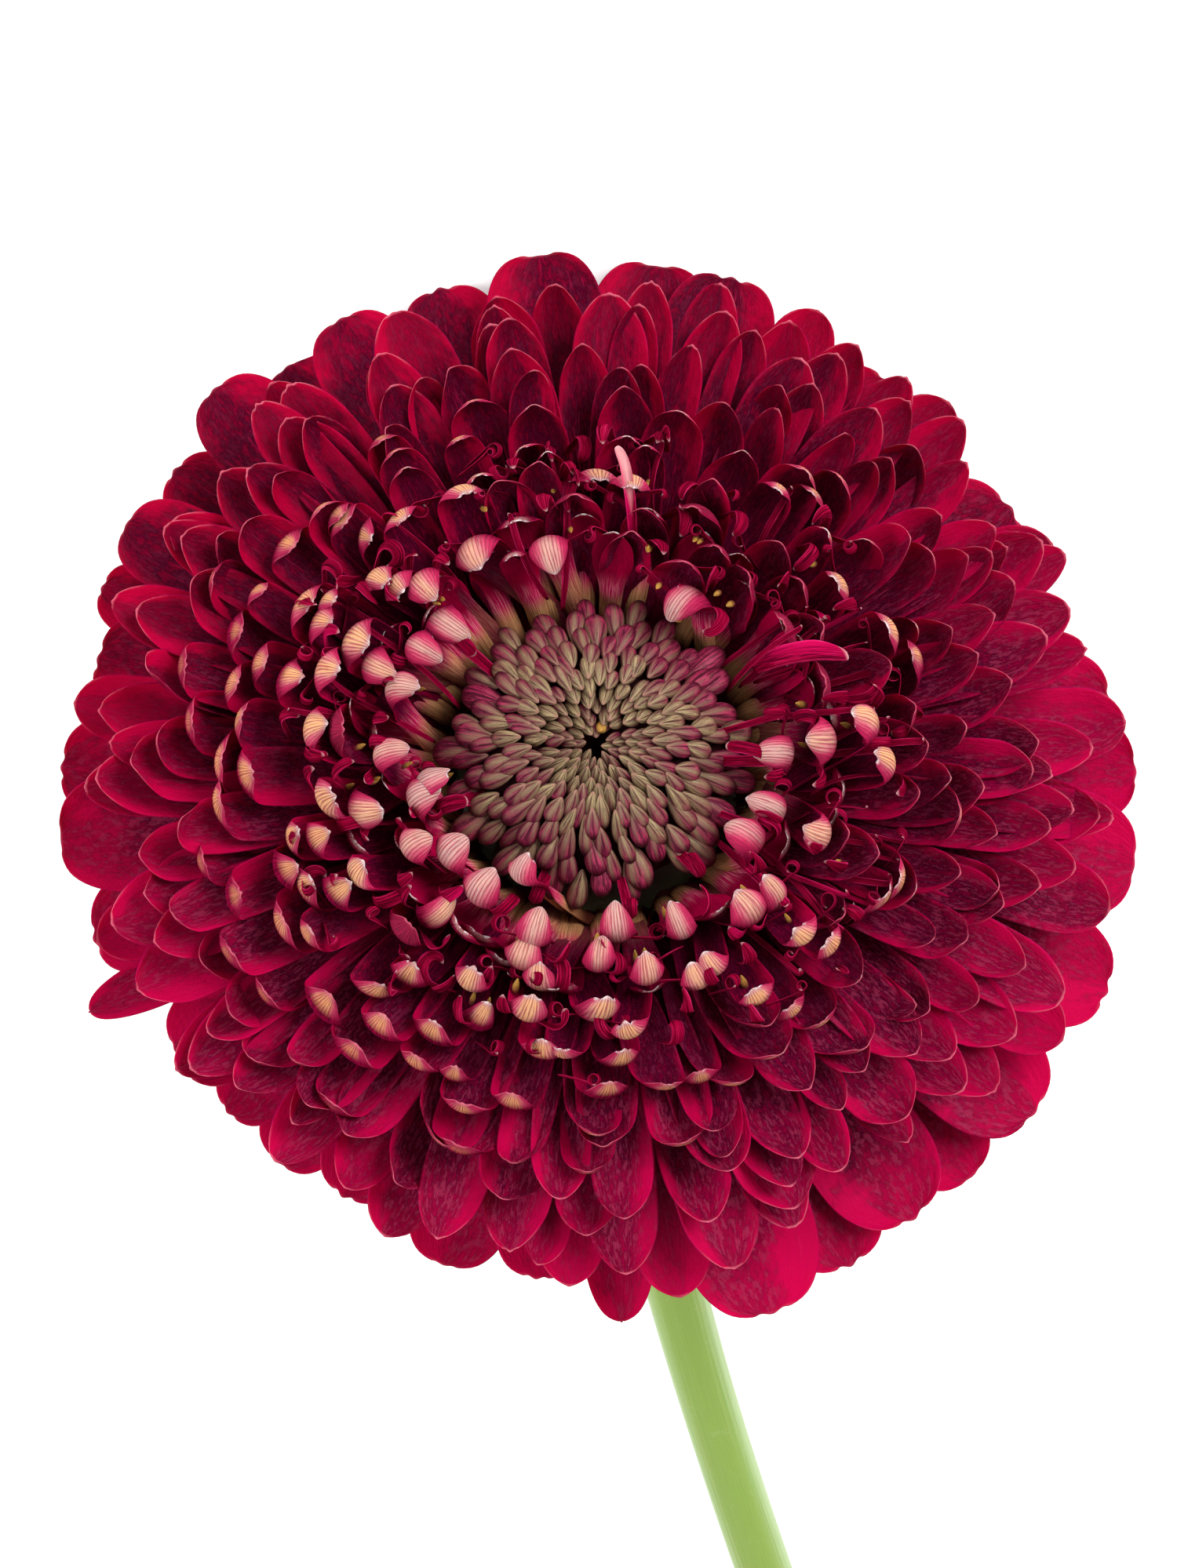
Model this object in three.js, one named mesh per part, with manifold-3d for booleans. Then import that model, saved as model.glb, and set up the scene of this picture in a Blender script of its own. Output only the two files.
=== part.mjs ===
// A pompon gerbera daisy: one cut flower lying on a table. Millimetres, +Z up, table at z = 0.
//
// The head rests on the tips of its lowest outer ray florets and the stalk on its cut end.
// Every floret stands on the domed receptacle at the top of the stalk. Its centre line is a
// Bezier curve in the half plane of its azimuth, from its seat on the receptacle to its tip.

import * as THREE from "three";
import { mergeVertices } from "three/addons/utils/BufferGeometryUtils.js";
import Module from "manifold-3d";

// Pose of the head on the table
const HEAD_CENTRE = new THREE.Vector3(0, -108, 38.6);
const FACE_ELEVATION = 50; // degrees that the face looks up from the horizon
const HEAD_BEARING = -17.5; // degrees that the neck turns away from the stalk's line

// Florets, in the head's own axes: z along the face's normal, radius from that axis
const SEAT_OUTER = new THREE.Vector2(18.5, 1.0); // where the outermost florets stand
const SEAT_INNER = new THREE.Vector2(13.2, 8.0); // where the innermost ligulate florets stand
const SEAT_GAP = 0.3; // from a floret's foot to the receptacle
const DOME_RADIUS = 58; // the tips of the florets lie on a flattened dome
const DOME_HEIGHT = 26;
const DOME_SHOULDER = 3.2; // power of the radius: the higher, the flatter the top
const DOME_FALL = 0.62; // power of the fall towards the rim

// Whorls of ray florets between the outer rays and the disc, from the outside in
const RAY_WHORLS = 5;
const RAY_WHORL_FLORETS = 19;
const RAY_WHORL_TIP_OUTER = 52.5; // radius of the tips
const RAY_WHORL_TIP_INNER = 31;
const RAY_WIDTH_OUTER = 8.4;
const RAY_WIDTH_INNER = 6.4;
const WHORL_THICKNESS = 0.5;
const RING_SIDES = 24; // of every turned shape, so that they nest evenly

// Two whorls of short hooded florets round the disc
const HOODED_WHORLS = 2;
const HOODED_WHORL_FLORETS = 16;
const HOODED_TIP_OUTER = 25.4;
const HOODED_TIP_INNER = 20.2;
const HOODED_WIDTH = 4.6;
const HOOD_RADIUS = 1.7; // of the tip's curl towards the disc
const HOOD_TURN = 150; // degrees

// Outer ray florets: azimuth in degrees, reach of the tip and width, as the photograph shows
const OUTER_RAYS = [
  [2, 56, 12], [10, 54, 12], [20, 51.5, 12.5], [34.5, 52.5, 13], [55, 56, 12],
  [75, 56.5, 11], [84, 57, 12], [96, 57.5, 11.5], [107, 57, 10], [118, 57, 10],
  [125, 58, 9], [134, 58.5, 10], [142, 56, 9], [149.5, 56.5, 9], [157.5, 56, 7.5],
  [165, 53.5, 11], [177, 55.5, 11], [186, 55.5, 12], [196, 54, 11], [205, 57, 5],
  [212, 51, 9], [221, 50.5, 8], [229, 50.5, 9], [239, 49.5, 9], [253, 51.5, 10],
  [263, 51, 9], [273, 55, 7], [288, 57, 13], [297.5, 55.5, 11], [306, 55, 12],
  [314, 55.5, 10], [323, 56, 12.3], [338.5, 56.5, 12], [351, 56, 13],
];
const OUTER_THICKNESS = 0.6;
const OUTER_TIP_HEIGHT = -2.4; // of the lower of the two overlapping rows
const OUTER_ROW_STEP = 1.9; // the upper row's tips above the lower row's
const TABLE_REACH = 9; // a lower-row tip this near the table droops onto it

// Disc of closed florets
const DISC_FOOT_RADIUS = 12.2;
const DISC_RADIUS = 14.9;
const DISC_TOP = 23.5;
const DISC_RIM_HEIGHT = 18.5;
const DISC_DIMPLE = 2.2;

// Involucre: two rows of bracts under the outer rays
const BRACTS = 14; // in each row
const BRACT_WIDTH = 4.8;
const BRACT_THICKNESS = 0.7;
const BRACT_ROWS = [
  { seat: new THREE.Vector2(13.5, -4.6), rise: 24, tip: new THREE.Vector2(24.6, 1.6), lean: 36 },
  { seat: new THREE.Vector2(9, -6.55), rise: 8, tip: new THREE.Vector2(22.4, -1.6), lean: 34 },
];

// Stalk
const RECEPTACLE_UNDERSIDE = -7;
const NECK_RADIUS = 3.9;
const STALK_RADIUS = 3.2;
const STALK_FOOT_RADIUS = 3.5;
const NECK_LENGTH = 26; // over which the stalk narrows below the head
const STALK_REACH = 262; // from under the head's centre to the cut
const STALK_OFFSET = 16; // of the stalk's line from the head's centre
const STALK_BOW = 3; // sideways, at the middle
const CUT_SLANT = 45; // degrees
const STALK_END_HEIGHT = 3.73; // the centre of the cut, whose lower edge meets the table
const STALK_SIDES = 10;
const STALK_STEPS = 30;

const wasm = await Module();
wasm.setup();

const radians = THREE.MathUtils.degToRad;
const mix = THREE.MathUtils.lerp;

// The head's axes on the table
const headTurn = new THREE.Matrix4()
  .makeRotationZ(radians(HEAD_BEARING))
  .multiply(new THREE.Matrix4().makeRotationX(radians(90 - FACE_ELEVATION)))
  .multiply(new THREE.Matrix4().makeRotationZ(Math.PI));
const headMatrix = new THREE.Matrix4().setPosition(HEAD_CENTRE).multiply(headTurn);

// A closed body through rings of equally many points, each end closed by a fan
function loft(rings) {
  const count = rings[0].length;
  const points = rings.flat();
  const faces = [];
  for (let i = 0; i + 1 < rings.length; i++)
    for (let j = 0; j < count; j++) {
      const a = i * count + j;
      const b = i * count + ((j + 1) % count);
      faces.push(a, b, a + count, b, b + count, a + count);
    }
  const last = points.length - count;
  for (let j = 1; j + 1 < count; j++) {
    faces.push(0, j + 1, j);
    faces.push(last, last + j, last + j + 1);
  }
  return new THREE.BufferGeometry().setFromPoints(points).setIndex(faces);
}

// A profile of radius and height turned about the z axis
function revolved(profile) {
  return new THREE.LatheGeometry(profile, RING_SIDES).rotateX(Math.PI / 2);
}

function solidOf(geometry) {
  const bare = geometry.clone();
  bare.deleteAttribute("normal");
  bare.deleteAttribute("uv");
  const merged = mergeVertices(bare, 1e-4);
  return new wasm.Manifold(
    new wasm.Mesh({
      numProp: 3,
      vertProperties: new Float32Array(merged.attributes.position.array),
      triVerts: new Uint32Array(merged.index.array),
    }),
  );
}

function joined(geometries) {
  const mesh = wasm.Manifold.union(geometries.map(solidOf)).getMesh();
  return new THREE.BufferGeometry()
    .setAttribute("position", new THREE.BufferAttribute(mesh.vertProperties, 3))
    .setIndex(new THREE.BufferAttribute(mesh.triVerts, 1));
}

// Height of the dome that the tips lie on
function domeHeight(radius) {
  return DOME_HEIGHT * (1 - (radius / DOME_RADIUS) ** DOME_SHOULDER) ** DOME_FALL;
}

function heading(degrees) {
  return new THREE.Vector2(Math.cos(radians(degrees)), Math.sin(radians(degrees)));
}

// A floret's centre line in its half plane: x is the radius and y the height
function floretPath(seat, rise, footHandle, tip, lean, tipHandle) {
  return new THREE.CubicBezierCurve(
    seat,
    heading(rise).multiplyScalar(footHandle).add(seat),
    heading(lean).multiplyScalar(-tipHandle).add(tip),
    tip,
  );
}

// Stations along a path: the point, and the direction there
function stations(path, count) {
  return Array.from({ length: count + 1 }, (_, i) => {
    const t = i / count;
    return { along: t, at: path.getPointAt(t), to: path.getTangentAt(t) };
  });
}

// A flat strip round its stations, turned to an azimuth about the head's axis
function strip(places, widthAt, thickness, azimuth) {
  const turn = radians(azimuth);
  const out = new THREE.Vector3(Math.cos(turn), Math.sin(turn), 0);
  const side = new THREE.Vector3(-Math.sin(turn), Math.cos(turn), 0);
  return loft(
    places.map(({ along, at, to }) => {
      const half = widthAt(along) / 2;
      return [[-1, -1], [1, -1], [1, 1], [-1, 1]].map(([across, through]) => {
        const radius = at.x - (to.y * through * thickness) / 2;
        const height = at.y + (to.x * through * thickness) / 2;
        return new THREE.Vector3()
          .addScaledVector(out, radius)
          .addScaledVector(side, across * half)
          .setZ(height);
      });
    }),
  );
}

// The ring that joins the feet of a whorl, as long along the florets as its height says
function footRing(seat, rise, thickness, height) {
  const to = heading(rise);
  const normal = new THREE.Vector2(-to.y, to.x).multiplyScalar(thickness / 2);
  const end = seat.clone().addScaledVector(to, height);
  const outline = [
    seat.clone().sub(normal), end.clone().sub(normal),
    end.clone().add(normal), seat.clone().add(normal),
  ];
  return revolved([...outline, outline[0]]);
}

// Width of a ray floret along its length: a narrow claw, then a blade with a round tip
function rayWidth(claw, blade) {
  return (along) => {
    const opened = THREE.MathUtils.smoothstep(along, 0.1, 0.68);
    const rounded = along < 0.8 ? 1 : Math.sqrt(1 - (((along - 0.8) / 0.215) ** 2));
    return mix(claw, blade, opened) * rounded;
  };
}

function seatAt(share) {
  return SEAT_OUTER.clone().lerp(SEAT_INNER, share);
}

// Layers of florets from the outside in share the seats evenly
const LAYERS = 2 + RAY_WHORLS + HOODED_WHORLS;
const layerSeat = (layer) => seatAt(layer / (LAYERS - 1));
const layerRise = (layer) => mix(40, 72, layer / (LAYERS - 1));

function rayWhorl(index) {
  const share = index / (RAY_WHORLS - 1);
  const radius = mix(RAY_WHORL_TIP_OUTER, RAY_WHORL_TIP_INNER, share);
  const tip = new THREE.Vector2(radius, domeHeight(radius) - 1);
  const seat = layerSeat(index + 2);
  const rise = layerRise(index + 2);
  const path = floretPath(seat, rise, mix(17, 12, share), tip, mix(4, 46, share), mix(14, 8, share));
  const width = rayWidth(2.2, mix(RAY_WIDTH_OUTER, RAY_WIDTH_INNER, share));
  const places = stations(path, 4);
  const florets = Array.from({ length: RAY_WHORL_FLORETS }, (_, i) =>
    strip(places, width, WHORL_THICKNESS, ((i + index * 0.5) * 360) / RAY_WHORL_FLORETS),
  );
  return joined([footRing(seat, rise, WHORL_THICKNESS, 2), ...florets]);
}

// A hooded floret's stations: its stem, then an arc that curls towards the disc
function hoodedStations(path) {
  const places = stations(path, 3);
  const crest = places[3];
  const inwards = new THREE.Vector2(-crest.to.y, crest.to.x);
  const middle = crest.at.clone().addScaledVector(inwards, HOOD_RADIUS);
  for (let i = 1; i <= 3; i++) {
    const turn = (radians(HOOD_TURN) * i) / 3;
    const from = inwards.clone().multiplyScalar(-HOOD_RADIUS).rotateAround(new THREE.Vector2(), turn);
    places.push({
      along: 1 + i / 3,
      at: middle.clone().add(from),
      to: crest.to.clone().rotateAround(new THREE.Vector2(), turn),
    });
  }
  return places;
}

function hoodedWhorl(index) {
  const share = index / (HOODED_WHORLS - 1);
  const layer = index + 2 + RAY_WHORLS;
  const seat = layerSeat(layer);
  const rise = layerRise(layer);
  const radius = mix(HOODED_TIP_OUTER, HOODED_TIP_INNER, share);
  const tip = new THREE.Vector2(radius, DOME_HEIGHT - HOOD_RADIUS);
  const path = floretPath(seat, rise, 5, tip, mix(54, 64, share), 5);
  const width = (along) =>
    along <= 1 ? mix(2, HOODED_WIDTH, along) : HOODED_WIDTH * Math.cos((along - 1) * 1.2);
  const places = hoodedStations(path);
  const florets = Array.from({ length: HOODED_WHORL_FLORETS }, (_, i) =>
    strip(places, width, WHORL_THICKNESS, ((i + index * 0.5) * 360) / HOODED_WHORL_FLORETS),
  );
  return joined([footRing(seat, rise, WHORL_THICKNESS, 2), ...florets]);
}

function outerRay(row, azimuth, reach, width, tipHeight) {
  const path = floretPath(
    layerSeat(row), layerRise(row), 13 + row, new THREE.Vector2(reach, tipHeight), -12, 16,
  );
  return strip(stations(path, 5), rayWidth(2.6, width), OUTER_THICKNESS, azimuth);
}

function lowestOnTable(geometry) {
  const placed = geometry.clone().applyMatrix4(headMatrix);
  placed.computeBoundingBox();
  return placed.boundingBox.min.z;
}

// An outer ray near the table is bent until its tip just rests on it
function restingOuterRay(index) {
  const [azimuth, reach, width] = OUTER_RAYS[index];
  const row = index % 2;
  const free = OUTER_TIP_HEIGHT + row * OUTER_ROW_STEP;
  const made = (tipHeight) => outerRay(row, azimuth, reach, width, tipHeight);
  const clear = row === 0 ? TABLE_REACH : 0;
  if (lowestOnTable(made(free)) > clear) return made(free);
  let low = free - 12;
  let high = free + 12;
  for (let i = 0; i < 24; i++) {
    const middle = (low + high) / 2;
    if (lowestOnTable(made(middle)) < 0) low = middle;
    else high = middle;
  }
  return made(high);
}

function disc() {
  const foot = SEAT_INNER.y + SEAT_GAP + 0.65;
  const side = new THREE.SplineCurve([
    new THREE.Vector2(DISC_FOOT_RADIUS, foot),
    new THREE.Vector2(DISC_RADIUS - 0.6, mix(foot, DISC_RIM_HEIGHT, 0.7)),
    new THREE.Vector2(DISC_RADIUS, DISC_RIM_HEIGHT),
    new THREE.Vector2(DISC_RADIUS * 0.8, DISC_TOP - 1),
    new THREE.Vector2(DISC_RADIUS * 0.5, DISC_TOP),
    new THREE.Vector2(0, DISC_TOP - DISC_DIMPLE),
  ]);
  return revolved([new THREE.Vector2(0, foot), ...side.getPoints(8)]);
}

function bractRow({ seat, rise, tip, lean }, row) {
  const path = floretPath(seat, rise, 6, tip, lean, 5);
  const width = (along) => BRACT_WIDTH * Math.cos(along * 1.35) ** 0.6;
  const places = stations(path, 3);
  const bracts = Array.from({ length: BRACTS }, (_, i) =>
    strip(places, width, BRACT_THICKNESS, ((i + row * 0.5) * 360) / BRACTS),
  );
  return joined([footRing(seat, rise, BRACT_THICKNESS, 2), ...bracts]);
}

function receptacle() {
  const outwards = new THREE.Vector2(
    SEAT_INNER.y - SEAT_OUTER.y, SEAT_OUTER.x - SEAT_INNER.x,
  ).normalize();
  const inset = (seat) => seat.clone().addScaledVector(outwards, -SEAT_GAP - 0.1);
  const rim = inset(SEAT_OUTER.clone().add(new THREE.Vector2(0.4, -0.5)));
  const shoulder = inset(SEAT_INNER.clone().add(new THREE.Vector2(-0.5, 0.66)));
  const profile = [
    new THREE.Vector2(0, RECEPTACLE_UNDERSIDE),
    new THREE.Vector2(NECK_RADIUS + 1.2, RECEPTACLE_UNDERSIDE),
    new THREE.Vector2(11, -5.0),
    new THREE.Vector2(16, -2.7),
    rim,
    shoulder,
    new THREE.Vector2(0, shoulder.y + 0.2),
  ];
  return revolved(profile).applyMatrix4(headMatrix);
}

function stalkRadius(distance, length) {
  const neck = THREE.MathUtils.smoothstep(distance, 0, NECK_LENGTH);
  const foot = THREE.MathUtils.smoothstep(distance, length * 0.5, length);
  return mix(mix(NECK_RADIUS, STALK_RADIUS, neck), STALK_FOOT_RADIUS, foot);
}

// The stalk's line: out of the head against the face's normal, then along the table
function stalkPath() {
  const normal = new THREE.Vector3(0, 0, 1).transformDirection(headMatrix);
  const start = HEAD_CENTRE.clone().addScaledVector(normal, -3);
  const end = new THREE.Vector3(STALK_OFFSET, HEAD_CENTRE.y + STALK_REACH, STALK_END_HEIGHT);
  const knee = new THREE.Vector3(STALK_OFFSET, HEAD_CENTRE.y + 62, 17.2);
  const ahead = end.clone().sub(knee).normalize();
  const path = new THREE.CurvePath();
  path.add(
    new THREE.CubicBezierCurve3(
      start, start.clone().addScaledVector(normal, -24), knee.clone().addScaledVector(ahead, -30), knee,
    ),
  );
  const bowed = knee.clone().lerp(end, 0.6);
  bowed.x += STALK_BOW;
  path.add(
    new THREE.CubicBezierCurve3(knee, knee.clone().addScaledVector(ahead, 50), bowed, end),
  );
  return path;
}

function stalk() {
  const path = stalkPath();
  const length = path.getLength();
  const up = new THREE.Vector3(0, 0, 1);
  const rings = Array.from({ length: STALK_STEPS + 1 }, (_, i) => {
    const at = path.getPointAt(i / STALK_STEPS);
    const along = path.getTangentAt(i / STALK_STEPS);
    const side = new THREE.Vector3().crossVectors(along, up).normalize();
    const top = new THREE.Vector3().crossVectors(side, along);
    const radius = stalkRadius((i / STALK_STEPS) * length, length);
    const slant = i === STALK_STEPS ? Math.tan(radians(CUT_SLANT)) : 0;
    return Array.from({ length: STALK_SIDES }, (_, j) => {
      const turn = (j / STALK_SIDES) * 2 * Math.PI - Math.PI / 2;
      return at
        .clone()
        .addScaledVector(side, -radius * Math.cos(turn))
        .addScaledVector(top, radius * Math.sin(turn))
        .addScaledVector(along, -radius * Math.sin(turn) * slant);
    });
  });
  return joined([receptacle(), loft(rings)]);
}

const finish = (color, roughness) =>
  new THREE.MeshStandardMaterial({ color, roughness, metalness: 0, side: THREE.FrontSide });
const crimson = finish(0x9c0a26, 0.6);
const deepCrimson = finish(0x6e0a24, 0.65);
const rose = finish(0xb8506a, 0.6);
const olive = finish(0x8a7a5c, 0.7);
const bractGreen = finish(0x6f8f45, 0.7);
const stalkGreen = finish(0x8fb35a, 0.55);

const flower = new THREE.Group();
const head = new THREE.Group();
headMatrix.decompose(head.position, head.quaternion, head.scale);
flower.add(head);

function place(group, name, geometry, material) {
  const mesh = new THREE.Mesh(geometry, material);
  mesh.name = name;
  group.add(mesh);
}

const numbered = (name, index) => `${name}_${String(index + 1).padStart(2, "0")}`;
place(flower, "stalk_and_receptacle", stalk(), stalkGreen);
BRACT_ROWS.forEach((bracts, row) =>
  place(head, numbered("bract_row", row), bractRow(bracts, row), bractGreen),
);
OUTER_RAYS.forEach((_, i) =>
  place(head, numbered("outer_ray", i), restingOuterRay(i), crimson),
);
for (let i = 0; i < RAY_WHORLS; i++)
  place(head, numbered("ray_whorl", i), rayWhorl(i), deepCrimson);
for (let i = 0; i < HOODED_WHORLS; i++)
  place(head, numbered("hooded_whorl", i), hoodedWhorl(i), rose);
place(head, "disc_florets", disc(), olive);

// The origin is under the middle of the whole flower, on the table
const outline = new THREE.Box3().setFromObject(flower, true);
const middle = outline.getCenter(new THREE.Vector3());
flower.position.set(-middle.x, -middle.y, 0);

export default flower;
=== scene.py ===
"""A pompon gerbera daisy, cut and lying on a table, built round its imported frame.

Sizes are in millimetres in the head's own axes (x right, y up and z out of the face, seen from the
front) until a mesh is made, which turns them into metres in the part's frame.
"""

import math

import bpy
import numpy as np
from mathutils import Matrix, Vector


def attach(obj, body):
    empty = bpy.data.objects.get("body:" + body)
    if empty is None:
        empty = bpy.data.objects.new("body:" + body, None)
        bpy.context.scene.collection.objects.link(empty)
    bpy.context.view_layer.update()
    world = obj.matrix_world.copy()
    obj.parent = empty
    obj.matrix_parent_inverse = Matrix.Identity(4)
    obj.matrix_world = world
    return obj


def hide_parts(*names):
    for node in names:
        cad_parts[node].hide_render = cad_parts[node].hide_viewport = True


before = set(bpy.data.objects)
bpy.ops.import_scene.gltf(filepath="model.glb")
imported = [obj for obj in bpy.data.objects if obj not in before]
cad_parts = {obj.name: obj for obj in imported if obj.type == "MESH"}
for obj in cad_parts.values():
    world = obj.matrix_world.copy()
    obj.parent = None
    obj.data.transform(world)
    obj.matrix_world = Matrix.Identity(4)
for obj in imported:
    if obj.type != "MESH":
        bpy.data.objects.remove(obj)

bl_info = {
    "name": "Pompon gerbera daisy",
    "version": (1, 0, 0),
    "blender": (4, 5, 0),
    "location": "View3D > Sidebar > Gerbera",
    "description": "Builds a cut pompon gerbera daisy floret by floret",
    "category": "Add Mesh",
}

GOLDEN_ANGLE = math.pi * (3 - math.sqrt(5))
UP = np.array([0, 0, 1.0])

# Pixels along the photograph's longer side, and millimetres of the camera's sensor along it
PHOTO_HEIGHT = 1999
SENSOR = 36

# Outer ray florets: azimuth in degrees, reach of the tip and width, in the CAD nodes' order
OUTER_RAYS = [
    (2, 56, 12), (10, 54, 12), (20, 51.5, 12.5), (34.5, 52.5, 13), (55, 56, 12),
    (75, 56.5, 11), (84, 57, 12), (96, 57.5, 11.5), (107, 57, 10), (118, 57, 10),
    (125, 58, 9), (134, 58.5, 10), (142, 56, 9), (149.5, 56.5, 9), (157.5, 56, 7.5),
    (165, 53.5, 11), (177, 55.5, 11), (186, 55.5, 12), (196, 54, 11), (205, 57, 5),
    (212, 51, 9), (221, 50.5, 8), (229, 50.5, 9), (239, 49.5, 9), (253, 51.5, 10),
    (263, 51, 9), (273, 55, 7), (288, 57, 13), (297.5, 55.5, 11), (306, 55, 12),
    (314, 55.5, 10), (323, 56, 12.3), (338.5, 56.5, 12), (351, 56, 13),
]

# Rim florets between them: azimuth, reach and width
BETWEEN_RAYS = [
    (279, 54, 9), (267, 52.5, 8), (246, 52, 8), (27, 52.5, 9), (47, 53.5, 9), (65, 54.5, 8),
    (199, 53.5, 8), (172, 54, 8), (330, 54.5, 9), (345, 54, 9), (6, 54.5, 9), (218, 51.5, 7),
]

# Straps out of order among the hoods: azimuth, reach, height of the top, lean and curl in degrees,
# length of the curl, width, tone from crimson to pink, and how far the tip sways aside
STRAPS = [
    (28.3, 25.8, 26.4, 8, 40, 2.4, 3.0, 0.95, -4.2), (80, 29.3, 27.0, 14, 34, 2.0, 1.5, 1.0, 3.0),
    (-6, 17.5, 25.6, 84, 150, 7.0, 1.7, 0.1, 0.9), (8, 19.0, 26.0, 80, 220, 4.5, 1.0, 0.7, 0.5),
    (-28, 19.5, 25.0, 82, 300, 5.0, 1.1, 0.8, 0.9), (-52, 17.0, 24.0, 84, 200, 5.0, 1.6, 0.2, 0.5),
    (142, 18.2, 24.6, 86, 170, 5.0, 1.8, 0.2, 0.5), (201, 17.4, 24.2, 86, 150, 5.0, 2.0, 0.1, 0.9),
    (248, 17.2, 23.6, 84, 210, 5.5, 1.8, 0.2, 0.5), (-80, 18.0, 24.2, 80, 260, 5.0, 1.4, 0.5, 0.9),
]

# Rows of bracts in each of their two pieces: how many, radius and height of the seat, rise in
# degrees, radius and height of the tip, lean in degrees and width
BRACT_ROWS = (
    ((21, (13.5, -4.6), 24, (23.6, 1.3), 34, 4.4), (21, (12.0, -5.3), 22, (22.0, 0.2), 34, 4.2)),
    ((17, (9.0, -6.55), 10, (20.0, -2.0), 32, 4.0), (13, (6.5, -7.3), 4, (16.0, -4.4), 28, 3.4)),
)

# Radius and height along the receptacle, and along the dark dome of painted shade under the buds,
# below the disc's top
RECEPTACLE = [
    (3.4, -9.5), (4.6, -8.2), (7, -7), (11, -5.4), (16, -3.1),
    (18.4, -0.6), (18.2, 0.6), (12.4, 7.9), (1, 8.3),
]
DISC_SHADE_DOME = [
    (11.5, -14.2), (12.4, -9), (13.2, -6.4), (12, -4.8), (9, -2.6), (5, -2.2), (2, -4), (0.9, -7),
]

# Radius of the rim whorl's tips and the step to the next whorl, and the radii within which a
# floret belongs to the first and to the second hooded whorl
RIM_TIPS, WHORL_STEP = 52.5, 5.375
FIRST_HOODS, SECOND_HOODS = 30, 23

# Rows of points along a floret: as shares of its Bezier curve and as shares of its curl
LONG = (
    np.array([0, 0.12, 0.24, 0.36, 0.48, 0.6, 0.72, 0.84, 0.93, 1]),
    np.array([0.2, 0.4, 0.58, 0.74, 0.86, 0.95, 1]),
)
SHORT = np.array([0, 0.3, 0.55, 0.75, 0.9, 1]), np.array([0.35, 0.66, 0.88, 1])
HOOD = (
    np.array([0, 0.2, 0.4, 0.6, 0.8, 0.92]),
    np.array([0, 0.14, 0.28, 0.42, 0.56, 0.7, 0.84, 0.94, 1]),
)
THROAT = HOOD[0], SHORT[1]
LIP = np.array([0, 0.5, 0.9]), np.linspace(0, 1, 11)

# Lights: place from the head's centre and width in metres, and power in watts
LIGHTS = (
    ("key", (-0.95, -0.6, 0.6), 0.7, 18),
    ("fill", (0.95, -0.3, 0.7), 1.0, 13),
    ("front", (0.0, -1.1, 0.4), 1.0, 1.5),
)
WORLD_STRENGTH = 0.47

# Colours on the petals: painted shade at the top of the head, the inner crimson and the finer marks
SHADED_TOP_CRIMSON, INNER_CRIMSON = (0.36, 0.0002, 0.028), (0.25, 0.0003, 0.025)
SHADED_TOP_VELVET = (0.05, 0.0002, 0.01)
# Frost is a pale net over the velvet, partly the tissue's own and partly a painted sheen
FROST_AND_SHEEN, DUST, BRIGHT_LINE = (0.36, 0.03, 0.09), (0.42, 0.02, 0.09), (0.55, 0.008, 0.075)
BACK_LIGHT, BACK_DARK = (0.27, 0.003, 0.04), (0.08, 0.001, 0.014)
ROSE, PEARL, PEACH = (0.55, 0.05, 0.12), (0.7, 0.26, 0.22), (0.78, 0.37, 0.12)
# The rim colour is partly the paler margin and partly a painted highlight on the edge and the tip
RIB, RIM_AND_HIGHLIGHT, HAIRS = (0.37, 0.025, 0.08), (0.78, 0.15, 0.23), (0.9, 0.72, 0.72)
THROAT_PINK, THROAT_CRIMSON = (0.8, 0.2, 0.26), (0.5, 0.003, 0.08)
# The tube's dark foot is painted shade deep in the head
TAN, BROWN, SHADED_TUBE_FOOT = (0.6, 0.3, 0.13), (0.3, 0.1, 0.05), (0.09, 0.02, 0.012)

# Colours of the lips
LIP_DARK, LIP_CRIMSON, LIP_BRIGHT = (0.04, 0.0001, 0.007), (0.25, 0.0004, 0.022), (0.64, 0.003, 0.095)
LIP_PINK, LIP_SHINE, LIP_TIP = (0.72, 0.33, 0.34), (0.58, 0.02, 0.12), (0.75, 0.4, 0.42)

# Colours of the buds, with painted shade at their feet, and of the painted shade between them
DULL_OLIVE, LIGHT_STREAK, DARK_STREAK = (0.13, 0.125, 0.065), (0.45, 0.34, 0.17), (0.06, 0.025, 0.02)
BLUSH, DARK_BLUSH = (0.42, 0.025, 0.09), (0.1, 0.003, 0.022)
SEAM, BUD_TIP, SHADED_BUD_FOOT = (0.07, 0.008, 0.015), (0.45, 0.2, 0.16), (0.03, 0.001, 0.005)
SHADE_GROUND_DARK, SHADE_GROUND_LIGHT = (0.01, 0.001, 0.002), (0.03, 0.003, 0.005)

# Colours of the anthers: pollen, its shade and the tube
POLLEN, POLLEN_SHADE, ANTHER_TUBE = (0.6, 0.34, 0.05), (0.25, 0.09, 0.015), (0.2, 0.03, 0.02)


# Shader maths


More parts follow.
